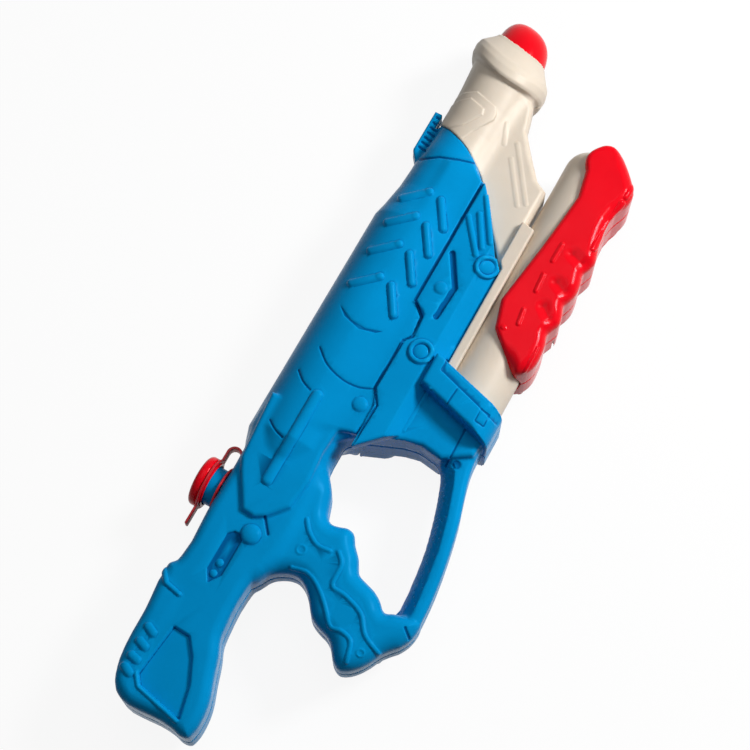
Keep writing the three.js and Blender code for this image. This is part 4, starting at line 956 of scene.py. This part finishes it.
def moulded_plastic(name, colour, painted_shade, painted_highlight, tint, rough, gloss=0.5, grain=0.05, milky=0.0):
    """Moulded plastic: slow mottling, fine grain, a painted highlight on convex edges and painted shade in
    creases and grooves.
    """
    fin = Finish(name)
    cloud = fin.ranged(fin.noise(26, 3), 0.3, 0.7, 0, 1)
    mottle = fin.blended(cloud, toned(colour, 0.94), toned(colour, 1.05))
    painted_light_and_shade = fin.attribute("painted_light_and_shade")
    # Painted highlight mixed in on convex edges
    highlighted = fin.blended(fin.ranged(painted_light_and_shade, 0.3, 0.9, 0, 0.6), mottle, painted_highlight)
    # Painted shade mixed in over creases and grooves
    fin.to("Base Color", fin.blended(fin.ranged(painted_light_and_shade, -0.12, -0.6, 0, 0.8), highlighted, painted_shade))
    fin.to("Roughness", fin.ranged(fin.noise(140, 4), 0.25, 0.75, rough - 0.05, rough + 0.07))
    fin.plain("Specular IOR Level", gloss)
    fin.plain("Specular Tint", (*tint[:3], 1))
    fin.plain("Subsurface Weight", milky)
    fin.plain("Subsurface Radius", (1.0, 0.75, 0.55))
    fin.plain("Subsurface Scale", 0.003)
    fin.bumped(fin.noise(1100, 3), strength=grain, distance=0.0004)
    return fin.material


def soft_plastic(name, colour, rough):
    fin = Finish(name)
    fin.to("Base Color", fin.blended(fin.noise(60, 3), toned(colour, 0.88), toned(colour, 1.08)))
    fin.to("Roughness", fin.ranged(fin.noise(300, 2), 0.3, 0.7, rough - 0.05, rough + 0.06))
    fin.bumped(fin.noise(700, 2), strength=0.06, distance=0.0004)
    return fin.material


def turned_steel(name, colour):
    fin = Finish(name)
    fin.plain("Metallic", 1)
    fin.to("Base Color", fin.blended(fin.noise(400, 3), toned(colour, 0.8), toned(colour, 1.1)))
    fin.to("Roughness", fin.ranged(fin.noise(900, 2), 0.3, 0.7, 0.24, 0.42))
    fin.bumped(fin.noise(1600, 2), strength=0.08, distance=0.0002)
    return fin.material


def finish(name):
    """One of the toy's finishes, made when it is first asked for."""
    if name in bpy.data.materials:
        return bpy.data.materials[name]
    c = bpy.context.scene.squirter_colours
    makers = {
        "squirter_blue": lambda: moulded_plastic(
            name, c.blue, c.blue_painted_shade, c.blue_painted_highlight, c.blue_gleam, rough=0.26, gloss=0.07
        ),
        "squirter_cream": lambda: moulded_plastic(
            name, c.cream, c.cream_painted_shade, c.cream, c.cream_gleam,
            rough=0.4, gloss=0.35, grain=0.04, milky=0.15,
        ),
        "squirter_red": lambda: moulded_plastic(
            name, c.red, c.red_painted_shade, c.red, c.red_gleam, rough=0.18, gloss=0.2, grain=0.03
        ),
        "squirter_soft_red": lambda: soft_plastic(name, c.strap, rough=0.45),
        "squirter_natural": lambda: soft_plastic(name, c.natural, rough=0.4),
        "squirter_hose": lambda: soft_plastic(name, c.hose, rough=0.35),
        "squirter_rubber": lambda: soft_plastic(name, c.rubber, rough=0.7),
        "squirter_steel": lambda: turned_steel(name, c.steel),
    }
    return makers[name]()


# Settings


def level(name, description, default, **limits):
    return FloatProperty(name=name, description=description, default=default, **limits)


def length(name, description, millimetres):
    return level(name, description, millimetres * MM, min=0, unit="LENGTH", precision=5)


def angle(name, description, degrees):
    return level(name, description, math.radians(degrees), subtype="ANGLE")


def colour(name, description, r, g, b):
    return FloatVectorProperty(
        name=name, description=description, default=linear(r, g, b), size=3, min=0, max=1, subtype="COLOR"
    )


class SkinSettings(PropertyGroup):
    """Moulded skins"""

    pitch: length("Pitch", "Spacing of the points on the body's skin", 1.05)
    fine_pitch: length("Fine pitch", "Spacing of the points on the barrel and the pump grip", 0.9)
    wall: length("Wall", "Thickness of the moulded walls", 2.2)
    stock_edge: length("Stock edge", "Rounding of the stock's rims", 6.5)
    grip_edge: length("Grip edge", "Rounding of the hand grip's rims", 9)
    relief: level("Relief", "Depth of the moulded details", 1.0, min=0, max=2)


class ColourSettings(PropertyGroup):
    """Colours of the toy"""

    blue: colour("Blue", "Body plastic", 3, 146, 210)
    # The next two are painted shade for hollows and a painted highlight for edges, not colours of the
    # plastic
    blue_painted_shade: colour("Deep blue", "Body plastic in hollows", 2, 72, 134)
    blue_painted_highlight: colour("Painted highlight blue", "Body plastic on its edges", 24, 180, 240)
    blue_gleam: colour("Blue gleam", "Tint of the light the body plastic throws back", 40, 190, 255)
    cream: colour("Cream", "Barrel and cylinder plastic", 217, 204, 187)
    # Painted shade of the cream plastic in hollows
    cream_painted_shade: colour("Deep cream", "Barrel plastic in hollows", 178, 150, 126)
    cream_gleam: colour("Cream gleam", "Tint of the light the cream plastic throws back", 255, 250, 240)
    red: colour("Red", "Nozzle, cap and pump grip plastic", 234, 3, 24)
    # Painted shade of the red plastic in hollows
    red_painted_shade: colour("Deep red", "Red plastic in hollows", 178, 2, 16)
    red_gleam: colour("Red gleam", "Tint of the light the red plastic throws back", 255, 150, 160)
    strap: colour("Strap", "Soft red of the tether", 205, 10, 30)
    natural: colour("Natural", "Inner mouldings", 222, 224, 222)
    hose: colour("Hose", "Milky tubes", 214, 224, 225)
    rubber: colour("Rubber", "Seals and the rod's guide", 34, 34, 36)
    steel: colour("Steel", "Screws, springs, balls and rod", 190, 192, 194)


class FillerSettings(PropertyGroup):
    """Filler cap and tether"""

    cap_radius: length("Cap radius", "Outer radius of the cap", 15.1)
    cap_round: length("Cap rounding", "Rounding of the cap's top edge", 2.6)
    strap_width: length("Strap width", "Width of the tether strap", 7)
    strap_thickness: length("Strap thickness", "Thickness of the tether strap", 1.5)


class ScrewSettings(PropertyGroup):
    """Screws on the left side"""

    head_radius: length("Head radius", "Radius of a body screw's head", 2.7)
    small_head_radius: length("Small head radius", "Radius of a grip screw's head", 2.1)
    shank_radius: length("Shank radius", "Radius of a screw's shank", 1.4)
    slot_width: length("Cross width", "Width of the cross in the head", 0.7)


class StageSettings(PropertyGroup):
    """Studio"""

    floor: length("Floor", "Side of the pale floor", 8000)
    key: level("Key light", "Power of the key light", 13.8, min=0, unit="POWER")
    fill: level("Fill light", "Power of the fill light", 4, min=0, unit="POWER")
    ambient: level("Ambient", "Strength of the light from all round", 0.08, min=0)
    lens: level("Lens", "Focal length", 90.8, min=1, unit="CAMERA")
    elevation: angle("Elevation", "Camera's angle over the floor", 70)
    azimuth: angle("Azimuth", "Camera's angle round the toy", 208.5)
    distance: length("Distance", "Camera's distance from the toy", 1100)
    rounds: IntProperty(name="Facets", description="Steps round a turned piece", default=72, min=12)


# Operators


def mould_halves(context, pieces, look, g, relief, fields):
    """Right and left half of a piece, each grown on its wall's field and its outside's field."""
    body, slot, material = look
    depth = context.scene.squirter_skin.relief
    for side, (name, node), (wall, outer) in zip((1, -1), pieces.items(), fields):
        piece = moulded(name, side, wall, outer, g, relief, depth)
        finished(piece, body, slot, finish(material), node)


def quarter(steps):
    """Angles of a quarter turn, first and last included."""
    return [math.pi / 2 * k / steps for k in range(steps + 1)]


class SQUIRTER_OT_body(Operator):
    """Both moulded halves of the blue body"""

    bl_idname = "squirter.body"
    bl_label = "Body shells"

    def execute(self, context):
        skin = context.scene.squirter_skin
        pitch = skin.pitch / MM
        g = Block((-238.5, -97, -2 * pitch), (170, 52, 30), pitch)
        whole = body_field(g, skin)
        room = g.flat(LOOP_ROOM)
        right = np.maximum(whole, -np.maximum(room, g.z - LOOP_ROOF))
        left = np.maximum(whole, -room)
        head = context.scene.squirter_screws.head_radius
        wells = with_screw_wells(hollowed(left, skin.wall / MM), left, g, BODY_SCREWS, head)
        fields = ((hollowed(right, skin.wall / MM), right), (wells, left))
        pieces = {"right_body_skin": "right_body_shell", "left_body_skin": "left_body_shell"}
        look = ("body", "blue_plastic", "squirter_blue")
        mould_halves(context, pieces, look, g, body_relief(), fields)
        return {"FINISHED"}


class SQUIRTER_OT_barrel(Operator):
    """Both halves of the cream barrel with its web and rail"""

    bl_idname = "squirter.barrel"
    bl_label = "Barrel halves"

    def execute(self, context):
        skin = context.scene.squirter_skin
        pitch = skin.fine_pitch / MM
        g = Block((15, -45, -2 * pitch), (236, 51, 29.5), pitch)
        outer = barrel_field(g)
        wall = hollowed(outer, skin.wall / MM)
        head = context.scene.squirter_screws.head_radius
        wells = with_screw_wells(wall.copy(), outer, g, BARREL_SCREWS, head)
        fields = ((wall, outer), (wells, outer))
        pieces = {"barrel_right_skin": "barrel_right_half", "barrel_left_skin": "barrel_left_half"}
        look = ("body", "white_plastic", "squirter_cream")
        mould_halves(context, pieces, look, g, barrel_relief(), fields)
        return {"FINISHED"}


class SQUIRTER_OT_pump_grip(Operator):
    """Both halves of the red pump grip"""

    bl_idname = "squirter.pump_grip"
    bl_label = "Pump grip"

    def execute(self, context):
        skin = context.scene.squirter_skin
        pitch = skin.fine_pitch / MM
        g = Block((30, -87, -2 * pitch), (192, -45, 25.5), pitch)
        outer = pump_grip_field(g)
        head = context.scene.squirter_screws.small_head_radius
        wells = with_screw_wells(outer.copy(), outer, g, GRIP_SCREWS, head)
        fields = ((outer, outer), (wells, outer))
        pieces = {"pump_grip_right_skin": "pump_grip_right", "pump_grip_left_skin": "pump_grip_left"}
        look = ("pump", "red_plastic", "squirter_red")
        mould_halves(context, pieces, look, g, pump_grip_relief(), fields)
        return {"FINISHED"}


class SQUIRTER_OT_nozzle(Operator):
    """The red nozzle dome, raked like the muzzle"""

    bl_idname = "squirter.nozzle"
    bl_label = "Nozzle dome"

    def execute(self, context):
        base, tip, reach = MUZZLE_X - 20, MUZZLE_X + 17.45, 21.5
        bore, boss, hole = NOZZLE_R - 2, 7, 2.9
        boss_end = tip - 7

        def arc(r, far, steps, smallest):
            rows = []
            for t in quarter(steps):
                rows.append((r * max(math.cos(t), 0) ** 0.7, far - reach + reach * math.sin(t) ** 0.85))
            return [row for row in rows if row[0] > smallest]

        outer = arc(NOZZLE_R, tip, 22, smallest=4.2)
        inner = arc(bore, tip - 2.4, 12, smallest=boss)
        mouth = [(hole + 0.5, tip - 0.1), (hole, tip - 0.6), (hole, boss_end), (boss, boss_end)]
        profile = [(bore, base), (NOZZLE_R, base), *outer, *mouth, *inner[::-1]]
        dome = spun("nozzle_dome_skin", profile, "x", placed(0, TANK_Y, 0))
        for vert in dome.data.vertices:
            y, z = ((vert.co - ORIGIN) / MM).yz
            vert.co.x += (MUZZLE_RAKE * (y - TANK_Y) - MOUTH_SCALLOP * (z / NOZZLE_R) ** 2) * MM
        smooth_shaded(dome)
        finished(dome, "body", "red_plastic", finish("squirter_red"), "nozzle_dome")
        return {"FINISHED"}


class SQUIRTER_OT_cylinder(Operator):
    """The cream pump cylinder with its round front end"""

    bl_idname = "squirter.cylinder"
    bl_label = "Pump cylinder"

    def execute(self, context):
        front, rear = CYLINDER_FRONT, CYLINDER_REAR
        bore, hole, wall = CYLINDER_R - 2.4, 7.3, 5
        wide, far = 9, 12
        nose = []
        for t in quarter(12):
            nose.append((CYLINDER_R - wide + wide * math.cos(t), front - far + far * math.sin(t)))
        profile = [(CYLINDER_R, rear), (CYLINDER_R, 60), (CYLINDER_R, 120), *nose]
        profile += [(hole + 0.5, front), (hole, front - 0.5), (hole, front - wall)]
        profile += [(bore - 3, front - wall), (bore, front - 2 * wall), (bore, rear)]
        piece = spun("pump_cylinder_skin", profile, "x", placed(0, PUMP_Y, 0))
        smooth_shaded(piece)
        finished(piece, "body", "white_plastic", finish("squirter_cream"), "pump_cylinder")
        return {"FINISHED"}


class SQUIRTER_OT_filler(Operator):
    """The red filler cap, round at its edges"""

    bl_idname = "squirter.filler"
    bl_label = "Filler cap"

    def execute(self, context):
        filler = context.scene.squirter_filler
        low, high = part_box("filler_cap")
        (_, bottom, _), (_, top, _) = in_drawing((low, high))
        r, edge = filler.cap_radius / MM, filler.cap_round / MM
        lip, bore, roof = 13.6, 12.4, top - 1.8
        crown = [(0, top), (r * 0.5, top - 0.15)]
        crown += [(r - edge + edge * math.sin(t), top - edge + edge * math.cos(t)) for t in quarter(8)]
        skirt = [(r, bottom + 3.4), (r - 0.5, bottom + 2.8), (lip, bottom + 2.7)]
        skirt += [(lip, bottom + 0.3), (lip - 0.3, bottom)]
        inside = [(bore + 0.1, bottom), (bore, bottom + 0.4), (bore, roof), (0, roof)]
        cap = spun("filler_cap_skin", crown + skirt + inside, "y", placed(NECK_X, 0, 0))
        smooth_shaded(cap)
        finished(cap, "cap", "red_plastic", finish("squirter_red"), "filler_cap")
        return {"FINISHED"}


class SQUIRTER_OT_tether(Operator):
    """The soft red tether: neck ring, folded strap, cap ring and tab"""

    bl_idname = "squirter.tether"
    bl_label = "Cap tether"

    def execute(self, context):
        filler = context.scene.squirter_filler
        thick, half = filler.strap_thickness / MM, filler.strap_width / MM / 2
        low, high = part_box("cap_tether")
        (tail, foot, _), (nose, top, _) = in_drawing((low, high))
        centre = placed(NECK_X, 0, 0)

        def hoop(name, inner, outer, y0, y1):
            edge = 0.45
            rim = [(outer - edge, y0), (outer, y0 + edge), (outer, y1 - edge), (outer - edge, y1)]
            return spun(name, [(inner, y0), *rim, (inner, y1)], "y", centre)

        def bend(r, first, last):
            turn = np.linspace(first, last, 15)
            return [(nose - reach + r * math.cos(t), middle_y + r * math.sin(t)) for t in turn]

        piece = hoop("cap_tether_skin", inner=11.8, outer=14.3, y0=foot, y1=foot + thick)
        middle_y, reach = (foot + top) / 2, (top - foot) / 2
        quarter_turn = 1.5708
        at_foot, at_ring, at_tab = NECK_X + 13, NECK_X + 14.6, NECK_X - 14.5
        band = [(at_foot, foot), *bend(reach, -quarter_turn, quarter_turn)]
        band += [(at_ring, top), (at_ring, top - thick)]
        band += [*bend(reach - thick, quarter_turn, -quarter_turn), (at_foot, foot + thick)]
        strap = drawn_out("strap", band, half)
        softened(strap, width=0.35, segments=2)
        combined(piece, strap, "UNION")
        ring = hoop("ring", inner=13.9, outer=15.7, y0=top - thick, y1=top)
        combined(piece, ring, "UNION")
        flap = [(tail, top), (tail, top - thick), (at_tab, top - thick), (at_tab, top)]
        tab = drawn_out("tab", flap, half)
        softened(tab, width=0.5, segments=3)
        combined(piece, tab, "UNION")
        smooth_shaded(piece)
        finished(piece, "body", "soft_red", finish("squirter_soft_red"), "cap_tether")
        return {"FINISHED"}


class SQUIRTER_OT_tank(Operator):
    """The water tank inside the body, with the neck that shows under the cap"""

    bl_idname = "squirter.tank"
    bl_label = "Water tank"

    def execute(self, context):
        low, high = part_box("water_tank")
        _, (front, mouth, _) = in_drawing((low, high))
        end, wall, neck, throat_r = front - 1.6, 22.7, 11.5, 9.5
        outer = [(0, -59), (14, -59), (17.5, -58.3), (22.5, -55), (24.3, -53), (24.3, 85), (18.5, 106)]
        outer += [(13.5, front), (0, front)]
        inner = [(0, end), (12, end), (16.9, 104), (wall, 84.4), (wall, -52.2), (16, -57.4), (0, -57.4)]
        bottle = spun("water_tank_skin", outer + inner, "x", placed(0, TANK_Y, 0))
        pocket = [(-118.5, 11.7), (-118.5, 37.7), (-47, 37.7), (-47, 7.7)]
        box = drawn_out("pocket", pocket, half=15.4)
        softened(box, width=3, segments=4)
        combined(bottle, box, "UNION")
        centre = placed(NECK_X, 0, 0)
        rows = [(neck, 33), (neck, 42.6), (12, 43), (12, 44.4), (neck, 44.8), (neck, mouth - 0.6)]
        rows += [(10.9, mouth), (throat_r, mouth), (throat_r, 20), (neck, 20)]
        combined(bottle, spun("neck", rows, "y", centre), "UNION")
        rows = [(0, 18), (throat_r, 18), (throat_r, mouth + 3), (0, mouth + 3)]
        throat = spun("throat", rows, "y", centre)
        combined(bottle, throat, "DIFFERENCE")
        smooth_shaded(bottle, angle=30)
        finished(bottle, "body", "blue_plastic", finish("squirter_blue"), "water_tank")
        return {"FINISHED"}


class SQUIRTER_OT_screws(Operator):
    """Cross-head screws, modelled once and copied to every well"""

    bl_idname = "squirter.screws"
    bl_label = "Screws"

    def execute(self, context):
        size = context.scene.squirter_screws
        shells = (("body_screw_", BODY_SCREWS), ("barrel_screw_", BARREL_SCREWS))
        self.driven("body", size.head_radius / MM, size, shells)
        self.driven("pump", size.small_head_radius / MM, size, (("grip_screw_", GRIP_SCREWS),))
        return {"FINISHED"}

    def driven(self, body, head, size, groups):
        """One size of screw, copied to its wells."""
        first = self.modelled(head, size.shank_radius / MM, size.slot_width / MM)
        for prefix, places in groups:
            for k in range(len(places)):
                node = f"{prefix}{k + 1}"
                at = middle(node)
                hold(first)
                bpy.ops.object.duplicate()
                piece = bpy.context.object
                piece.name = node + "_detail"
                bpy.ops.object.mode_set(mode="EDIT")
                bpy.ops.mesh.select_all(action="SELECT")
                bpy.ops.transform.translate(value=(at.x, at.y, 0))
                bpy.ops.object.mode_set(mode="OBJECT")
                finished(piece, body, "steel", finish("squirter_steel"), node)
        bpy.data.objects.remove(first, do_unlink=True)

    def modelled(self, head, shank, slot):
        """A turned screw with a domed head, a cross in it and thread rings."""
        seat = -SCREW_SEAT - FIT
        point, rings, lead, cut = 9.5, 14, 0.9, 0.25
        profile = [(0, seat - 2), (head * 0.5, seat - 1.9), (head * 0.85, seat - 1.5), (head, seat - 0.8)]
        profile += [(head, seat), (shank, seat)]
        for k in range(rings):
            z = seat + 1.2 + k * lead
            profile += [(shank - cut, z - cut), (shank, z)]
        profile += [(0.3, point), (0, point)]
        screw = spun("screw", profile, "z", Vector((0, 0, ORIGIN.z)), steps=32)
        for wide, tall in ((slot, head * 1.3), (head * 1.3, slot)):
            bpy.ops.mesh.primitive_cube_add(size=1, location=(0, 0, ORIGIN.z + (seat - 1.7) * MM))
            bit = bpy.context.object
            bit.scale = (wide * MM, tall * MM, 2.0 * MM)
            bpy.ops.object.transform_apply(location=True, rotation=True, scale=True)
            combined(screw, bit, "DIFFERENCE")
        smooth_shaded(screw)
        return screw


class SQUIRTER_OT_inner_parts(Operator):
    """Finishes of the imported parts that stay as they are"""

    bl_idname = "squirter.inner_parts"
    bl_label = "Inner parts"

    def execute(self, context):
        looks = {
            "squirter_cream": ("valve_block", "intake_nipple", "outlet_nipple"),
            "squirter_natural": ("jet_insert", "piston_head", "stop_sleeve"),
            "squirter_hose": ("intake_hose", "delivery_hose"),
            "squirter_rubber": ("nozzle_seal", "cap_seal", "block_seal", "piston_seal", "rod_bush"),
            "squirter_steel": (
                "piston_rod", "intake_ball", "outlet_ball", "intake_spring", "outlet_spring",
            ),
        }
        for look, nodes in looks.items():
            for node in nodes:
                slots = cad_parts[node].data.materials
                slots.clear()
                slots.append(finish(look))
        return {"FINISHED"}


class SQUIRTER_OT_stage(Operator):
    """Camera, soft studio light and the pale floor"""

    bl_idname = "squirter.stage"
    bl_label = "Studio"

    def execute(self, context):
        stage = context.scene.squirter_stage
        scene = context.scene
        scene.view_settings.view_transform = "Standard"
        up, turn = stage.elevation, stage.azimuth
        away = Vector((math.cos(up) * math.cos(turn), math.cos(up) * math.sin(turn), math.sin(up)))
        camera = bpy.data.objects.new("camera", bpy.data.cameras.new("camera"))
        scene.collection.objects.link(camera)
        camera.data.lens = stage.lens
        camera.data.sensor_width = 36
        camera.data.clip_end = 50
        camera.location = ORIGIN + away * stage.distance
        camera.rotation_euler = away.to_track_quat("Z", "Y").to_euler()
        scene.camera = camera
        right = Vector((-math.sin(turn), math.cos(turn), 0))
        ahead = Vector((-math.cos(turn), -math.sin(turn), 0))

        def lamp(name, power, side, offset):
            light = bpy.data.lights.new(name, "AREA")
            light.energy = power
            light.size = side
            lamp_object = bpy.data.objects.new(name, light)
            scene.collection.objects.link(lamp_object)
            lamp_object.location = ORIGIN + offset
            lamp_object.rotation_euler = offset.to_track_quat("Z", "Y").to_euler()

        lamp("key", stage.key, side=0.3, offset=right * 0.9 + ahead * 0.3 + Vector((0, 0, 0.76)))
        lamp("fill", stage.fill, side=0.9, offset=ahead * 0.3 + right * 0.1 + Vector((0, 0, 1.35)))

        idle()
        bpy.ops.mesh.primitive_plane_add(size=stage.floor, location=(0, 0, 0))
        floor = bpy.context.object
        floor.name = "floor"
        floor.data.materials.append(self.pale("floor_paper", share=0.91))
        world = bpy.data.worlds.new("studio")
        scene.world = world
        world.use_nodes = True
        nodes, links = world.node_tree.nodes, world.node_tree.links
        around = nodes["Background"]
        around.inputs["Color"].default_value = (1, 1, 1, 1)
        level = nodes.new("ShaderNodeMapRange")
        level.inputs["To Min"].default_value = stage.ambient
        level.inputs["To Max"].default_value = 1
        links.new(self.looked_at(nodes, links), level.inputs["Value"])
        links.new(level.outputs["Result"], around.inputs["Strength"])
        return {"FINISHED"}

    def looked_at(self, nodes, links):
        """One for rays that the eye sees, straight on, mirrored or through glass."""
        path = nodes.new("ShaderNodeLightPath")
        value = path.outputs["Is Camera Ray"]
        for ray in ("Is Glossy Ray", "Is Transmission Ray"):
            either = nodes.new("ShaderNodeMath")
            either.operation = "MAXIMUM"
            links.new(value, either.inputs[0])
            links.new(path.outputs[ray], either.inputs[1])
            value = either.outputs[0]
        return value

    def pale(self, name, share):
        """Pale paper that the camera sees as white, with the object's shadow kept on it."""
        fin = Finish(name)
        seen = self.looked_at(fin.nodes, fin.links)
        paper = fin.blended(fin.noise(8, 2), (0.94, 0.94, 0.94), (0.98, 0.98, 0.98))
        fin.to("Base Color", fin.blended(seen, (0.22, 0.22, 0.22), paper))
        fin.plain("Roughness", 0.9)
        glow = fin.nodes.new("ShaderNodeEmission")
        mix = fin.nodes.new("ShaderNodeMixShader")
        fin.links.new(fin.ranged(seen, 0, 1, 0, share), mix.inputs[0])
        fin.links.new(fin.shader.outputs[0], mix.inputs[1])
        fin.links.new(glow.outputs[0], mix.inputs[2])
        fin.links.new(mix.outputs[0], fin.nodes["Material Output"].inputs[0])
        return fin.material


class SQUIRTER_PT_panel(Panel):
    """Pieces of the water squirter"""

    bl_label = "Water squirter"
    bl_space_type = "VIEW_3D"
    bl_region_type = "UI"
    bl_category = "Squirter"

    def draw(self, context):
        for step in STEPS:
            self.layout.operator(step.bl_idname)
        for name in SETTINGS:
            group = getattr(context.scene, name)
            box = self.layout.box()
            for key in group.__annotations__:
                box.prop(group, key)


SETTINGS = {
    "squirter_skin": SkinSettings,
    "squirter_colours": ColourSettings,
    "squirter_filler": FillerSettings,
    "squirter_screws": ScrewSettings,
    "squirter_stage": StageSettings,
}
STEPS = [
    SQUIRTER_OT_stage,
    SQUIRTER_OT_body,
    SQUIRTER_OT_barrel,
    SQUIRTER_OT_pump_grip,
    SQUIRTER_OT_nozzle,
    SQUIRTER_OT_cylinder,
    SQUIRTER_OT_tank,
    SQUIRTER_OT_filler,
    SQUIRTER_OT_tether,
    SQUIRTER_OT_screws,
    SQUIRTER_OT_inner_parts,
]


def register():
    for cls in (*SETTINGS.values(), *STEPS, SQUIRTER_PT_panel):
        bpy.utils.register_class(cls)
    for name, cls in SETTINGS.items():
        setattr(bpy.types.Scene, name, PointerProperty(type=cls))


def unregister():
    for name in SETTINGS:
        delattr(bpy.types.Scene, name)
    for cls in (SQUIRTER_PT_panel, *STEPS, *SETTINGS.values()):
        bpy.utils.unregister_class(cls)


def main():
    register()
    for step in STEPS:
        group, name = step.bl_idname.split(".")
        getattr(getattr(bpy.ops, group), name)()


if __name__ == "__main__":
    main()
